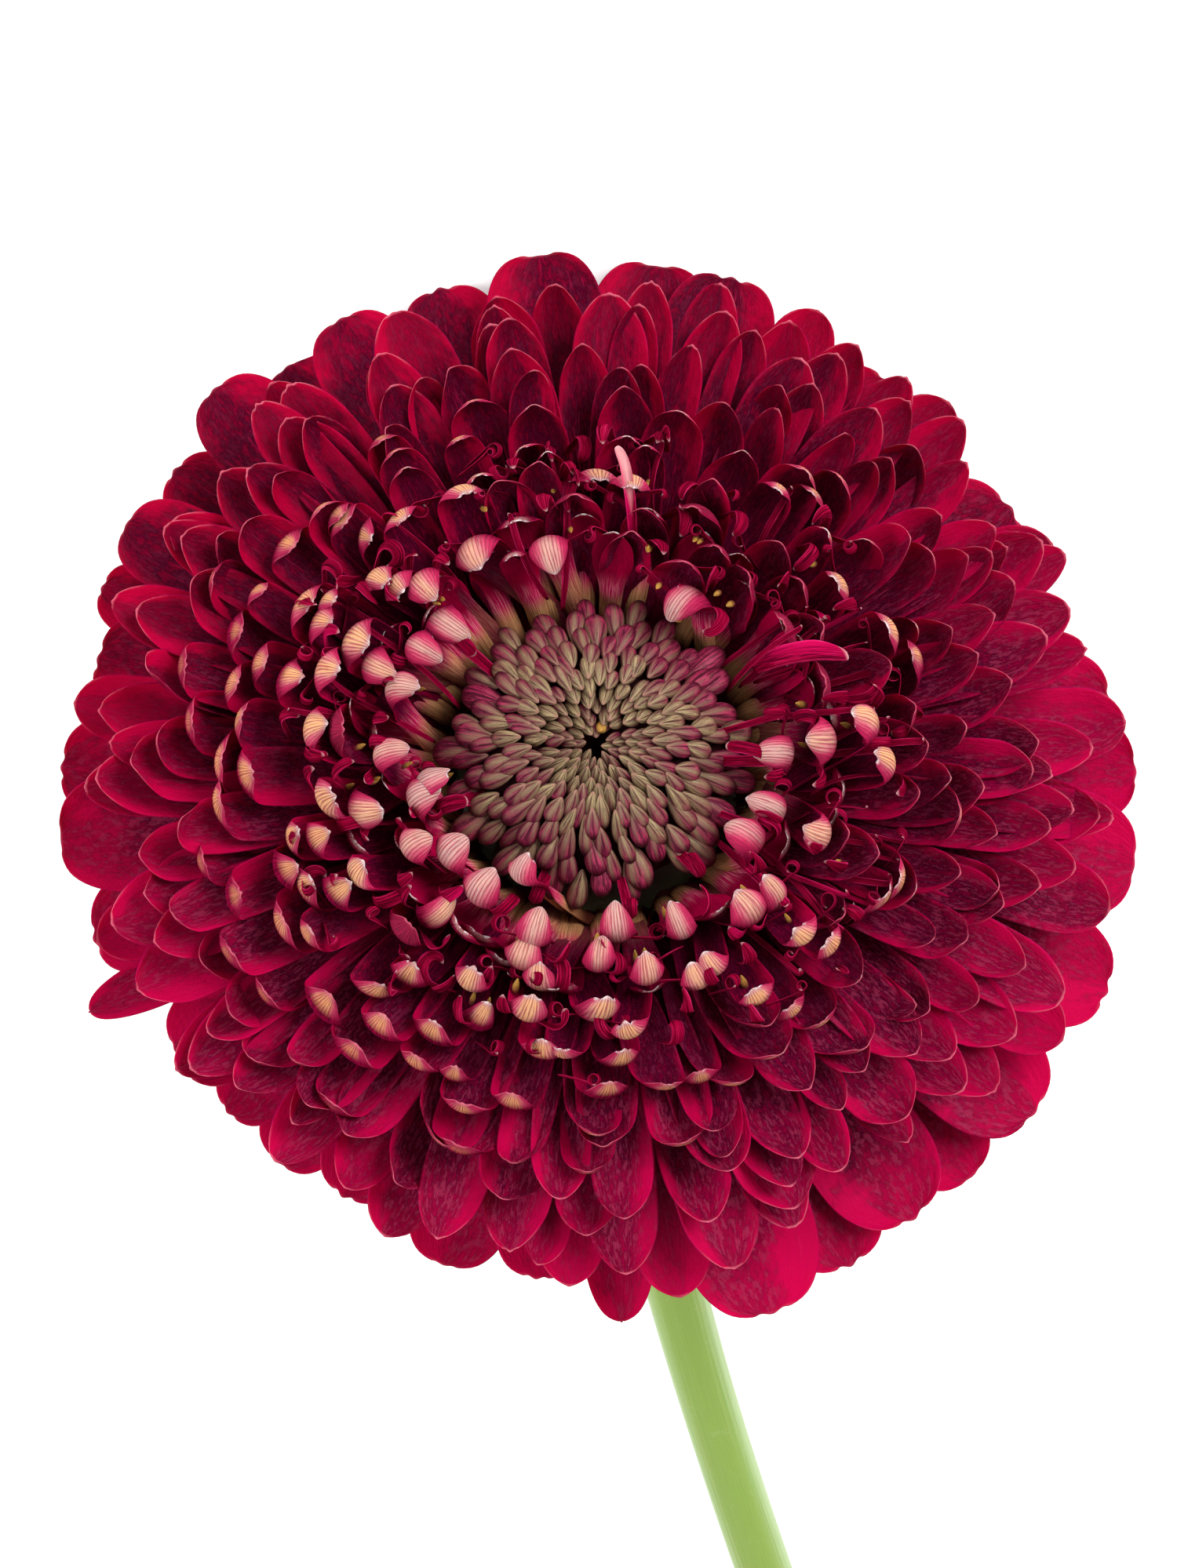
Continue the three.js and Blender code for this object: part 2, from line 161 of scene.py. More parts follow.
class Wire:
    """A socket whose value varies over a surface. Arithmetic on it adds Math nodes."""

    def __init__(self, paint, socket):
        self.paint = paint
        self.socket = socket

    def math(self, operation, *others):
        """A Math node on this wire and the others."""
        values = {i: v for i, v in enumerate((self, *others))}
        return self.paint.add("ShaderNodeMath", {"operation": operation}, values)

    def __add__(self, other):
        return self.math("ADD", other)

    __radd__ = __add__

    def __mul__(self, other):
        return self.math("MULTIPLY", other)

    __rmul__ = __mul__

    def __sub__(self, other):
        return self.math("SUBTRACT", other)

    def __rsub__(self, other):
        return (self * -1) + other

    def __abs__(self):
        return self.math("ABSOLUTE")

    def clamped(self):
        """Held between 0 and 1."""
        return self.math("MAXIMUM", 0.0).math("MINIMUM", 1.0)

    def between(self, low, high):
        """0 below low, 1 above high and a smooth ramp from one to the other."""
        settings = {"interpolation_type": "SMOOTHSTEP"}
        return self.paint.add(
            "ShaderNodeMapRange", settings, {"Value": self, "From Min": low, "From Max": high}
        )


class Paint:
    """A material whose nodes are added by add() and whose colours are blended by mix()."""

    def __init__(self, name, **constants):
        self.material = bpy.data.materials.new(name)
        self.material.use_nodes = True
        self.tree = self.material.node_tree
        self.shader = self.tree.nodes["Principled BSDF"]
        for socket, value in constants.items():
            self.shader.inputs[socket.replace("_", " ")].default_value = value

    def add(self, kind, settings=None, values=None, output=0):
        """Adds a node, makes its settings, then sets or links its inputs, and gives an output."""
        node = self.tree.nodes.new(kind)
        for key, value in (settings or {}).items():
            setattr(node, key, value)
        for key, value in (values or {}).items():
            if isinstance(value, Wire):
                self.tree.links.new(value.socket, node.inputs[key])
            elif isinstance(value, tuple) and len(value) == 3 and node.inputs[key].type == "RGBA":
                node.inputs[key].default_value = (*value, 1)
            else:
                node.inputs[key].default_value = value
        return Wire(self, node.outputs[output])

    def attribute(self, name):
        """The three numbers of a vector attribute of the mesh."""
        return self.parts(
            self.add("ShaderNodeAttribute", {"attribute_name": name}, output="Vector")
        )

    def parts(self, vector):
        """The three numbers of a vector."""
        return [
            self.add("ShaderNodeSeparateXYZ", None, {0: vector}, output=axis) for axis in range(3)
        ]

    def vector(self, x, y, z):
        """A vector of three numbers."""
        return self.add("ShaderNodeCombineXYZ", None, {0: x, 1: y, 2: z})

    def place(self):
        """The place on the piece, in metres in the part's frame."""
        return self.add("ShaderNodeTexCoord", output="Object")

    def grain(self, scale, detail, roughness):
        """Noise in the place on the piece."""
        return self.noise(self.place(), scale, detail, roughness)

    def noise(self, at, scale, detail, roughness):
        """Smooth random values about 0.5."""
        values = {"Vector": at, "Scale": scale, "Detail": detail, "Roughness": roughness}
        return self.add("ShaderNodeTexNoise", None, values)

    def mix(self, factor, first, second):
        """The first colour where the factor is 0 and the second where it is 1."""
        values = {0: factor, 6: first, 7: second}
        return self.add("ShaderNodeMix", {"data_type": "RGBA"}, values, output=2)

    def bump(self, height, distance, strength):
        """A normal tilted by the height's slope."""
        values = {"Height": height, "Distance": distance, "Strength": strength}
        return self.add("ShaderNodeBump", None, values)

    def finish(self, **varying):
        """Links what varies to the shader and gives the material."""
        for socket, wire in varying.items():
            self.tree.links.new(wire.socket, self.shader.inputs[socket.replace("_", " ")])
        return self.material


# Shapes


def mix(first, second, share):
    """From the first at share 0 to the second at share 1."""
    return first + (second - first) * share


def smooth(share):
    """Eased from 0 to 1: three times the square less twice the cube."""
    share = np.clip(share, 0, 1)
    return share * share * (3 - 2 * share)


def bezier(points, share):
    """A cubic Bezier curve's points and directions at the shares, by its four control points."""
    a, b, c, d = (np.asarray(p, float)[..., None, :] for p in points)
    t = np.asarray(share)[..., :, None]
    at = a * (1 - t) ** 3 + 3 * b * t * (1 - t) ** 2 + 3 * c * t * t * (1 - t) + d * t**3
    to = 3 * ((b - a) * (1 - t) ** 2 + 2 * (c - b) * t * (1 - t) + (d - c) * t * t)
    return at, to


def stacked(*arrays):
    """The arrays spread to one shape and stacked along a last axis."""
    return np.stack(np.broadcast_arrays(*arrays), -1)


def ring_of(count):
    """Angles evenly round a circle."""
    return np.arange(count) / count * 2 * math.pi


def outward(azimuth):
    """Unit vectors away from the head's axis."""
    return stacked(np.cos(azimuth), np.sin(azimuth), 0.0)


def variation(seed, count, kinds):
    """A seeded generator and its first draws: for each kind, every floret's normal number."""
    rng = np.random.default_rng(seed)
    return rng, rng.standard_normal((count, kinds)).clip(-2, 2).T


def head_axes():
    """The head's axes as columns, and its centre, in the part's frame, in millimetres."""
    head = bpy.context.scene.gerbera_head
    turn = (
        Matrix.Rotation(head.bearing, 3, "Z")
        @ Matrix.Rotation(math.pi / 2 - head.elevation, 3, "X")
        @ Matrix.Rotation(math.pi, 3, "Z")
    )
    return np.array(turn), np.array(head.centre)


def from_head(points):
    """Points in the head's axes, in millimetres, as points in the part's frame."""
    axes, centre = head_axes()
    return points @ axes.T + centre


def dome_height(radius):
    """Height of the dome of tips: the top's height times a power of 1 less a power of the radius."""
    head = bpy.context.scene.gerbera_head
    share = np.clip(radius / head.dome_radius, 0, 0.9999)
    return head.dome_height * (1 - share**head.dome_shoulder) ** head.dome_fall


def grid_quads(rows, columns, closed):
    """Quads between the rows of a grid, whose columns may close on themselves."""
    i = np.arange(rows - 1)[:, None]
    j = np.arange(columns if closed else columns - 1)[None, :]
    k = (j + 1) % columns
    return np.stack(
        [i * columns + j, i * columns + k, (i + 1) * columns + k, (i + 1) * columns + j], -1
    ).reshape(-1, 4)


def end_caps(rows, sides):
    """The faces that close the first and the last ring of a tube."""
    last = (rows - 1) * sides
    return [list(range(sides))[::-1], list(range(last, last + sides))]


def revolved(profile, sides):
    """A surface of revolution from radii and heights, low to high: points, quads and caps."""
    radius, height = np.array(profile, float)[:, :, None].transpose(1, 0, 2)
    turn = ring_of(sides)
    points = stacked(radius * np.cos(turn), radius * np.sin(turn), height)
    return points, grid_quads(len(profile), sides, True), end_caps(len(profile), sides)


def repeated(quads, count, step):
    """The quads of one shape for each of count shapes, whose points follow each other."""
    return (quads[None] + (np.arange(count) * step)[:, None, None]).reshape(-1, 4)


def solid(name, points, quads, material, nodes, values=None, levels=0, extra=()):
    """A mesh object from points in millimetres in the part's frame, with vector attributes.

    Extra faces are added to the quads. Levels of subdivision round it off.
    """
    mesh = bpy.data.meshes.new(name)
    faces = [*quads.tolist(), *extra]
    mesh.from_pydata((points.reshape(-1, 3) / 1000).tolist(), [], faces)
    mesh.polygons.foreach_set("use_smooth", np.ones(len(faces), bool))
    for key, numbers in (values or {}).items():
        layer = mesh.attributes.new(key, "FLOAT_VECTOR", "POINT")
        layer.data.foreach_set("vector", np.ascontiguousarray(numbers, np.float32).ravel())
    mesh.materials.append(material)
    mesh.update()
    piece = bpy.data.objects.new(name, mesh)
    bpy.context.scene.collection.objects.link(piece)
    if levels:
        finer = piece.modifiers.new("Finer", "SUBSURF")
        finer.levels = finer.render_levels = levels
    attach(piece, "root")
    if nodes:
        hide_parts(*nodes)


def florets_of(count, **values):
    """A floret table: every floret's numbers, in millimetres and radians, with common defaults."""
    table = {
        "foot_handle": 12, "tip_handle": 8, "claw": 2.1, "claw_end": 0.12, "blade_start": 0.6,
        "claw_channel": 2.2, "wave": 0.12, "wave_pitch": 0.5, "twist": 0, "sway": 0, "roll": 0,
        "layer": 0, "thickness": 0.32, "tip_power": 1.9, "tip_blunt": 0.6, "tip_end": 0.14,
        "tooth": 0.12, **values,
    }
    return {key: np.broadcast_to(np.asarray(value, float), count) for key, value in table.items()}


def chosen(florets, which):
    """The rows of a floret table that are chosen."""
    return {key: value[which] for key, value in florets.items()}


def joined(*tables):
    """Floret tables one after another."""
    return {key: np.concatenate([table[key] for table in tables]) for key in tables[0]}


def centre_lines(f, stations, curl_stations):
    """Points (radius, height) and headings along each floret, from its seat to its tip.

    A cubic Bezier in the half plane of the azimuth leads to the crest and an arc curls on from
    there, so placed that the floret reaches just to its radius and its height.
    """
    bend = f["curl_length"] / f["curl"]
    out = np.minimum(f["lean"] + f["curl"], np.maximum(f["lean"], math.pi / 2))
    over = np.minimum(f["lean"] + f["curl"], math.pi)
    lean_cosine, lean_sine = np.cos(f["lean"]), np.sin(f["lean"])
    crest = np.hstack(
        [
            f["radius"] - bend * (np.sin(out) - lean_sine),
            f["height"] - bend * (lean_cosine - np.cos(over)),
        ]
    )
    seat = np.hstack([f["seat_radius"], f["seat_height"]])
    rise = np.hstack([np.cos(f["rise"]), np.sin(f["rise"])]) * f["foot_handle"]
    lean = np.hstack([lean_cosine, lean_sine]) * f["tip_handle"]
    at, to = bezier((seat, seat + rise, crest - lean, crest), stations)
    heading = f["lean"] + f["curl"] * curl_stations[None, :]
    middle = crest + bend * np.hstack([-lean_sine, lean_cosine])
    arc = middle[:, None] + bend[..., None] * np.stack([np.sin(heading), -np.cos(heading)], -1)
    turned = np.arctan2(to[..., 1], to[..., 0])
    return np.concatenate([at, arc], 1), np.concatenate([turned, heading], 1)


def ligules(florets, rows, columns):
    """Strap-shaped florets as closed shells: points, quads and their attributes.

    Across its centre line a blade is an arc of a circle whose half angle is the channel. The width
    opens smoothly from the claw to the blade, and near the tip it is 1 less a power of the share
    of the tip's length, to a power. A cosine across the tip cuts two notches into it. Both sides
    stand half a thickness off that surface, less near the edges. The roll leans all of it over
    sideways. A negative channel bends the edges back instead, as in a tube seen from outside.
    The blade attribute holds the share across, centimetres from the tip and 1 on the underside,
    and the floret attribute the tone, the layer and the share along.
    """
    f = {key: value[:, None] for key, value in florets.items()}
    count = len(f["azimuth"])
    at, heading = centre_lines(f, *rows)
    steps = np.linalg.norm(np.diff(at, axis=1), axis=2)
    along = np.concatenate([np.zeros((count, 1)), np.cumsum(steps, 1)], 1)
    share = along / along[:, -1:]
    from_tip = along[:, -1:] - along

    opened = smooth((share - f["claw_end"]) / (f["blade_start"] - f["claw_end"]))
    past = (1 - from_tip / f["tip_length"]).clip(0, 1)
    width = mix(f["claw"], f["width"], opened)
    width = width * mix(f["tip_end"], 1, (1 - past ** f["tip_power"]) ** f["tip_blunt"])
    channel = mix(mix(f["claw_channel"], f["channel"], opened), f["tip_channel"], smooth(past * 1.3))
    channel = np.where(abs(channel) < 0.02, 0.02, channel)

    across = np.linspace(-1, 1, columns)
    angle = channel[..., None] * across
    curve = (width / 2 / channel)[..., None]
    wave = f["wave"] * np.sin(along * f["wave_pitch"] + f["tone"] * 40) * opened
    lift = curve * (1 - np.cos(angle)) + wave[..., None] * across**2
    twist = (f["twist"] * share**2)[..., None]
    thin = 1 - 0.6 * past[..., None] ** 2
    thick = f["thickness"][..., None] * (1 - 0.7 * across**4) * thin / 2
    tooth = (f["tooth"] * past**3)[..., None] * np.cos(across * 1.5 * math.pi)
    sides = []
    for off in (-thick, thick):
        up = lift + off * np.cos(angle)
        side = curve * np.sin(angle) - off * np.sin(angle)
        aside = side * np.cos(twist) - up * np.sin(twist) + (f["sway"] * share**2)[..., None]
        up = up * np.cos(twist) + side * np.sin(twist)
        sine, cosine = np.sin(heading)[..., None], np.cos(heading)[..., None]
        radial = at[..., :1] - sine * up + cosine * tooth
        height = at[..., 1:] + cosine * up + sine * tooth
        pivot, roll = (f["height"] - 3)[..., None], f["roll"][..., None]
        above = height - pivot
        height = pivot + above * np.cos(roll) - aside * np.sin(roll)
        aside = aside * np.cos(roll) + above * np.sin(roll)
        sides.append(np.stack([radial, aside, height], -1))
    sides[1] = sides[1][:, :, ::-1]
    shell = np.concatenate(sides, 2)
    turn = f["azimuth"][..., None]
    x = shell[..., 0] * np.cos(turn) - shell[..., 1] * np.sin(turn)
    y = shell[..., 0] * np.sin(turn) + shell[..., 1] * np.cos(turn)
    points = stacked(x, y, shell[..., 2])

    rings, loop = shell.shape[1], 2 * columns
    j = np.arange(columns - 1)
    start = np.stack([j, loop - 1 - j, loop - 2 - j, j + 1], -1)
    end = start[:, ::-1] + (rings - 1) * loop
    quads = np.concatenate([grid_quads(rings, loop, True), start, end])
    quads = repeated(quads, count, rings * loop)
    under = np.repeat([1.0, 0.0], columns)
    both = np.concatenate([across, across[::-1]])
    blade = stacked(both, from_tip[..., None] / 10, under)
    floret = stacked(f["tone"][..., None], f["layer"][..., None], share[..., None] + 0 * both)
    return points, quads, {"blade": blade, "floret": floret}


def add_florets(name, florets, rows, columns, finish, nodes=()):
    """A piece of strap-shaped florets."""
    points, quads, values = ligules(florets, rows, columns)
    solid(name, from_head(points), quads, finish, nodes, values, levels=1)


def spindles(base, axis, lift, length, width, bend, around=8):
    """Closed spindle-shaped buds: points, quads, caps and an attribute of place.

    The centre line leaves the base along the axis and bends towards the lift by a share of the
    square of the distance. The radius is half the width times a power of the sine, widest a
    third of the way up. The attribute holds the shares around and along.
    """
    along = np.array([0.02, 0.12, 0.3, 0.52, 0.74, 0.9, 0.99])
    profile = np.sin(math.pi * along**0.72) ** 0.72
    side = np.cross(lift, axis)
    count, rows = len(base), len(along)
    reach = (length[:, None] * along)[..., None]
    centre = base[:, None] + axis[:, None] * reach + lift[:, None] * bend * reach * along[:, None]
    turn = ring_of(around)
    ring = np.cos(turn)[:, None] * side[:, None, None] + np.sin(turn)[:, None] * lift[:, None, None]
    points = centre[:, :, None] + ring * (width[:, None] / 2 * profile)[..., None, None]
    quads = repeated(grid_quads(rows, around, True), count, rows * around)
    caps = np.array(end_caps(rows, around)) + (np.arange(count) * rows * around)[:, None, None]
    place = stacked(turn / 2 / math.pi, along[:, None], 0.0)
    place = np.broadcast_to(place, (count, rows, around, 3))
    return points, quads, caps.reshape(-1, around).tolist(), place


def layer_seats(layer):
    """Seat radius, seat height and rise of a layer, counted from the rim, as shares of 8 layers."""
    head = bpy.context.scene.gerbera_head
    share = np.asarray(layer) / 8
    return {
        "seat_radius": mix(head.seat_outer[0], head.seat_inner[0], share),
        "seat_height": mix(head.seat_outer[1], head.seat_inner[1], share),
        "rise": np.radians(mix(40, 72, share)),
    }


def towards(azimuth, way, power):
    """1 the given way, falling off to 0 at right angles: a power of the cosine."""
    return np.cos(azimuth - way).clip(0, 1) ** power


def head_florets():
    """Every ray and hooded floret between the outer rays and the disc, outermost first."""
    head = bpy.context.scene.gerbera_head
    area = head.floret_area / math.pi
    count = int((head.ray_tip_outer**2 - head.hood_tip_inner**2) / area)
    rng, normal = variation(7, count, 9)
    # Each floret has the same area on a golden-angle spiral
    azimuth = np.arange(count) * GOLDEN_ANGLE + normal[1] * 0.06 + 0.4
    radius = np.sqrt(head.ray_tip_outer**2 - np.arange(count) * area) + normal[0] * 0.85
    # The hoods reach further out towards the lower right, and stand back from the disc in places
    border = 33.5 + 2.5 * np.cos(azimuth + 0.7)
    hooded = smooth((border - radius) / 9)
    # Some keep open blades among the hoods, more of them at the right and at the top
    upper_right = towards(azimuth, 1.0, 8)
    opening = 0.08 + 0.5 * towards(azimuth, 0.1, 4) + 0.55 * towards(azimuth, 1.75, 4)
    opening = opening + 0.6 * upper_right
    nearest = 20.5 - 2.0 * upper_right
    blade = (np.random.default_rng(8).random(count) < opening) & (hooded > 0.2) & (radius > nearest)
    hooded = np.where(blade, 0.1, hooded)
    gap = towards(azimuth, 2.05, 8) + 0.8 * towards(azimuth, -0.85, 14)
    gap = gap + 0.7 * towards(azimuth, 0.25, 14)
    radius = radius + gap * (border - radius).clip(0, 8) * 0.55
    whorl = (RIM_TIPS - radius) / WHORL_STEP
    layer = np.where(radius < 31, 6 + (31 - radius) / 7, 2 + whorl).clip(1.6, 8)
    share = ((layer - 2) / 4).clip(0, 1)
    inner = ((FIRST_HOODS - radius) / 9).clip(0, 1)
    # A few are twisted three times as far as the others
    odd = np.where(rng.random(count) < 0.14, 3.0, 1.0)
    # The tips at the left roll over further and show their pale undersides
    left = smooth((share - 0.05) / 0.5) * smooth(0.2 - np.cos(azimuth - 0.35))
    curl = mix(36 + 44 * share + 62 * left, mix(132, 172, inner), hooded) + normal[4] * 14
    # The velvet is the deepest towards the lower right, and at the top it is made as deep as painted
    # shade
    lower_right = 0.9 * smooth(0.5 + 0.5 * np.cos(azimuth + 1.0))
    velvet_and_top_shade = np.maximum(lower_right, smooth(np.cos(azimuth - 1.7) * 1.4))
    return florets_of(
        count, **layer_seats(layer), azimuth=azimuth, radius=radius,
        height=dome_height(radius) + 0.2 + normal[2] * 0.55 + 1.6 * hooded * (1 - inner),
        foot_handle=mix(mix(17, 12, share), 6, inner), tip_handle=mix(mix(14, 8, share), 5, inner),
        lean=np.radians(mix(mix(-4, 42, share), 64, inner) + normal[3] * 5),
        curl=np.radians(curl) * np.where(blade, 0.62, 1),
        curl_length=mix(6.0, mix(4.2, 6.6, inner), hooded) * (1 + normal[8] * 0.13),
        width=mix(mix(8.0, 6.4, share), mix(5.6, 4.7, inner), hooded) * (1 + normal[5] * 0.13),
        claw=mix(2.1, 3.6, inner), claw_end=mix(0.12, 0.5, inner),
        claw_channel=mix(2.2, -1.5, inner), blade_start=mix(0.62, 0.8, hooded),
        channel=mix(mix(0.75, 1.0, share), 1.1, hooded),
        tip_channel=mix(mix(0.7, 0.9, share), 1.3, hooded), tip_blunt=mix(0.72, 0.5, hooded),
        tip_length=mix(6.4, mix(4.4, 3.8, inner), hooded), tip_end=mix(0.18, 0.4, hooded),
        twist=normal[6] * 0.13 * odd, sway=normal[7] * 0.6, tooth=0.12 + 0.16 * abs(normal[6]),
        roll=normal[8] * mix(0.08, 0.25, hooded), thickness=mix(0.3, 0.36, hooded),
        tone=0.5 * rng.random(count) + 0.5 * velvet_and_top_shade, layer=np.where(blade, 0.3, layer / 8),
    )


# Finishes


def tint(name):
    """One of the flower's colours."""
    return tuple(getattr(bpy.context.scene.gerbera_colours, name))


class PetalPaint(Paint):
    """Petal tissue: a dark velvet face with speckles and fine veins, a paler rim that is partly a
    painted highlight, and a paler underside.

    Its wires are across (-1 to 1 over the blade), from_tip (centimetres), under (1 on the underside),
    tone (by chance for each floret, deeper towards the lower right, and raised at the top of the head
    as painted shade), layer (0 at the rim to 1 at the disc) and along (0 at the foot to 1 at the
    tip). High runs from 0 to 1 up the head, and the face is painted darker along it as shade.
    """

    def __init__(self, name):
        super().__init__(
            name, Subsurface_Weight=0.18, Subsurface_Radius=(1.0, 0.12, 0.12),
            Subsurface_Scale=0.0011, Specular_IOR_Level=0.015,
        )
        across, from_tip, under = self.attribute("blade")
        tone, layer, along = self.attribute("floret")
        self.across, self.from_tip, self.under = across, from_tip, under
        self.tone, self.layer, self.along = tone, layer, along
        self.speckle = self.noise(self.vector(across * 3, from_tip * 2.6, tone * 90), 3.6, 3, 0.75)
        self.line = self.noise(self.vector(across * 9, from_tip * 1.4, tone * 70), 2.2, 3, 0.6)
        self.cloud = self.noise(self.vector(across * 1.3, from_tip * 1.5, tone * 80), 1.6, 3, 0.6)
        self.cells = self.grain(2300, 2, 0.6)
        self.lean = (tone * 7.3).math("FRACT") - 0.5
        # High: the share up the head, along which the petals are painted darker as shade
        axes, centre = head_axes()
        ahead = axes[:, 1] * 0.95 - axes[:, 0] * 0.3
        x, y, z = self.parts(self.place())
        a, b, c = (float(n) for n in ahead)
        self.high = x * a + y * b + z * c - float(centre @ ahead) / 1000
        self.high = self.high.between(-0.015, 0.04)

    def face(self, velvet):
        """The upper side: velvet over the middle, broken by a net, frost that is partly a painted
        sheen, dust and bright lines. Painted shade deepens it away from the tip and towards the top
        of the head.
        """
        edge = abs(self.across + self.lean * 0.9 + (self.cloud - 0.5) * 1.5).between(0.35, 1.15)
        deep = (1 - edge) * 0.95 + self.speckle.between(0.35, 0.68) * 0.3 + self.cloud * 0.75
        deep = deep + self.tone * 0.9 + self.line * 0.55 - 1.37
        # Further than 4 mm from the tip the velvet deepens: painted shade where the petal lies under
        # others
        deep = (deep * velvet + self.from_tip.between(0.4, 1.3) * (velvet - 0.25)).clamped()
        net = self.vector(self.across * 11, self.from_tip * 9, self.tone * 60)
        net = self.noise(net, 0.85, 2, 0.7)
        deep = deep * (net.between(0.35, 0.55) * 0.4 + 0.74).clamped()
        # Painted shade: darker crimson and velvet towards the top of the head
        rich = self.mix(self.high, tint("petal"), SHADED_TOP_CRIMSON)
        rich = self.mix(self.layer.between(0.4, 0.8) * 0.5, rich, INNER_CRIMSON)
        colour = self.mix(deep, rich, self.mix(self.high, tint("velvet"), SHADED_TOP_VELVET))
        # Frost and dust fade towards the top, under the painted shade there
        low = 1 - self.high * 0.8
        # Frost: partly the velvet's own pale net and partly a painted sheen
        frost_and_sheen = (net + self.speckle * 0.4).between(0.66, 0.84) * deep.between(0.15, 0.7) * low
        colour = self.mix(frost_and_sheen * (1 - self.layer.between(0.5, 0.8)) * 0.5, colour, FROST_AND_SHEEN)
        dust = self.grain(3600, 1, 0.6).between(0.58, 0.72) * deep * low
        colour = self.mix(dust * 0.2, colour, DUST)
        return self.mix(self.line.between(0.58, 0.7) * 0.25, colour, BRIGHT_LINE)

    def back(self, pale, rib):
        """The underside: streaked crimson, and pale with crimson ribs as far as pale says."""
        middle = abs(self.across) * 0.9 + self.from_tip * 0.65 + self.cloud * 0.7 + self.tone * 0.35
        middle = 1 - middle.between(0.6, 1.65)
        cream = self.mix(middle.between(-0.1, 0.5), tint("hood"), ROSE)
        whole = middle * (0.7 + self.line * 0.5) * self.layer.between(0.34, 0.66)
        pearl = self.mix(self.layer.between(0.6, 0.8), PEARL, tint("cream"))
        cream = self.mix(whole.between(0.15, 0.95), cream, pearl)
        warm = (1 - self.layer.between(0.76, 0.97)) * 0.8 + self.line * 0.9 - 0.4
        warm = warm * self.layer.between(0.3, 0.55) * middle.between(0.35, 0.95)
        warm = (warm * self.from_tip.between(0.02, 0.08)).clamped() * 0.8
        cream = self.mix(rib * (self.line * 1.2 + 0.1).clamped(), self.mix(warm, cream, PEACH), RIB)
        return self.mix(pale, self.mix(self.line.between(0.35, 0.65), BACK_LIGHT, BACK_DARK), cream)

    def rim(self, colour):
        """The colour with a thin pale rim, partly the margin's own and partly a painted highlight on
        the edge and the tip, and white hairs on the tips nearer the disc.
        """
        rim = abs(self.across).between(0.93, 1.0) * (1 - self.from_tip.between(0.0, 0.3)) * 0.6
        rim = (rim + (1 - self.from_tip.between(0.0, 0.035))).clamped() * (0.55 + self.tone * 0.3)
        rim = rim * self.layer.between(-0.2, 0.4) * (1 - self.layer.between(0.6, 0.75))
        rim = rim * (self.speckle + self.lean * self.across * 0.6).between(0.2, 0.55)
        hairs = (1 - self.from_tip.between(0.0, 0.04)) * self.cells.between(0.4, 0.6)
        hairs = hairs * self.layer.between(0.6, 0.75)
        # The rim: partly the paler margin, partly a painted highlight
        return self.mix(hairs * 0.9, self.mix(rim, colour, RIM_AND_HIGHLIGHT), HAIRS)

    def foot(self, colour, tube):
        """The colour with the throat's streaks and the tan tube below, darker at its foot as painted
        shade, in the nearest florets.
        """
        nearest = self.layer.between(0.82, 0.97)
        throat = self.mix(self.line.between(0.35, 0.55), THROAT_PINK, THROAT_CRIMSON)
        share = (1 - self.along.between(tube + 0.03, tube + 0.22)) * nearest
        colour = self.mix(share, colour, throat)
        tan = self.mix(self.line.between(0.35, 0.7), TAN, BROWN)
        # Painted shade: the tube darkens towards its foot
        tan = self.mix(1 - self.along.between(tube - 0.28, tube - 0.1), tan, SHADED_TUBE_FOOT)
        return self.mix((1 - self.along.between(tube - 0.07, tube + 0.07)) * nearest, colour, tan)


def petal_finish(name, velvet, reach, shell=1.0, tube=0.43):
    """A petal's material.

    The velvet is how far the middle of the face darkens. The underside's cream and ribbed tip
    goes down from the tip as far as the reach, in centimetres, and the shell is how pale it is.
    The tube is the share of its length that is tan, in the florets nearest the disc.
    """
    paint = PetalPaint(name)
    rib = abs((paint.across * 6.6 + paint.line * 1.5).math("FRACT") - 0.5) * 2
    rib = rib.between(0.55, 0.95)
    pale = (1 - paint.from_tip.between(reach * 0.4, reach)) * shell
    pale = pale * (paint.layer.between(0.32, 0.6) * 0.75 + 0.25)
    colour = paint.mix(paint.under, paint.face(velvet), paint.back(pale.clamped(), rib))
    height = paint.speckle * 0.6 + paint.line * 0.4 + paint.cells * 0.2
    height = height - rib * paint.under * pale * 0.8
    return paint.finish(
        Base_Color=paint.foot(paint.rim(colour), tube),
        Roughness=(paint.cells * 0.25 + 0.4).clamped(), Normal=paint.bump(height, 0.0003, 0.7),
    )


def lip_finish():
    """Thin curled straps: crimson with pink streaks and a pale tip."""
    paint = Paint(
        "curled_lip", Subsurface_Weight=0.2, Subsurface_Radius=(1.0, 0.2, 0.2),
        Subsurface_Scale=0.0008, Specular_IOR_Level=0.01,
    )
    across, from_tip, _ = paint.attribute("blade")
    tone, _, _ = paint.attribute("floret")
    line = paint.noise(paint.vector(across * 3.4, from_tip * 1.2, tone * 70), 2.0, 3, 0.65)
    colour = paint.mix(line.between(0.35, 0.62), LIP_DARK, LIP_CRIMSON)
    bright = tone.between(0.7, 0.95) * (across * 0.5 + line * 1.8 - from_tip * 0.5 - 0.3).clamped()
    colour = paint.mix(bright * 0.95, colour, LIP_BRIGHT)
    pink = tone.between(0.96, 1.0) * (1.2 - from_tip * 2.0 - abs(across) * 0.6 + line * 0.5)
    colour = paint.mix(pink.clamped(), colour, LIP_PINK)
    shine = (line.between(0.58, 0.64) * 0.4 + abs(across).between(0.86, 1.0) * line * 0.5).clamped()
    colour = paint.mix(shine, colour, LIP_SHINE)
    colour = paint.mix((1 - from_tip.between(0.0, 0.04)) * 0.6, colour, LIP_TIP)
    return paint.finish(
        Base_Color=colour, Roughness=line * 0.3 + 0.3, Normal=paint.bump(line, 0.0002, 0.6)
    )


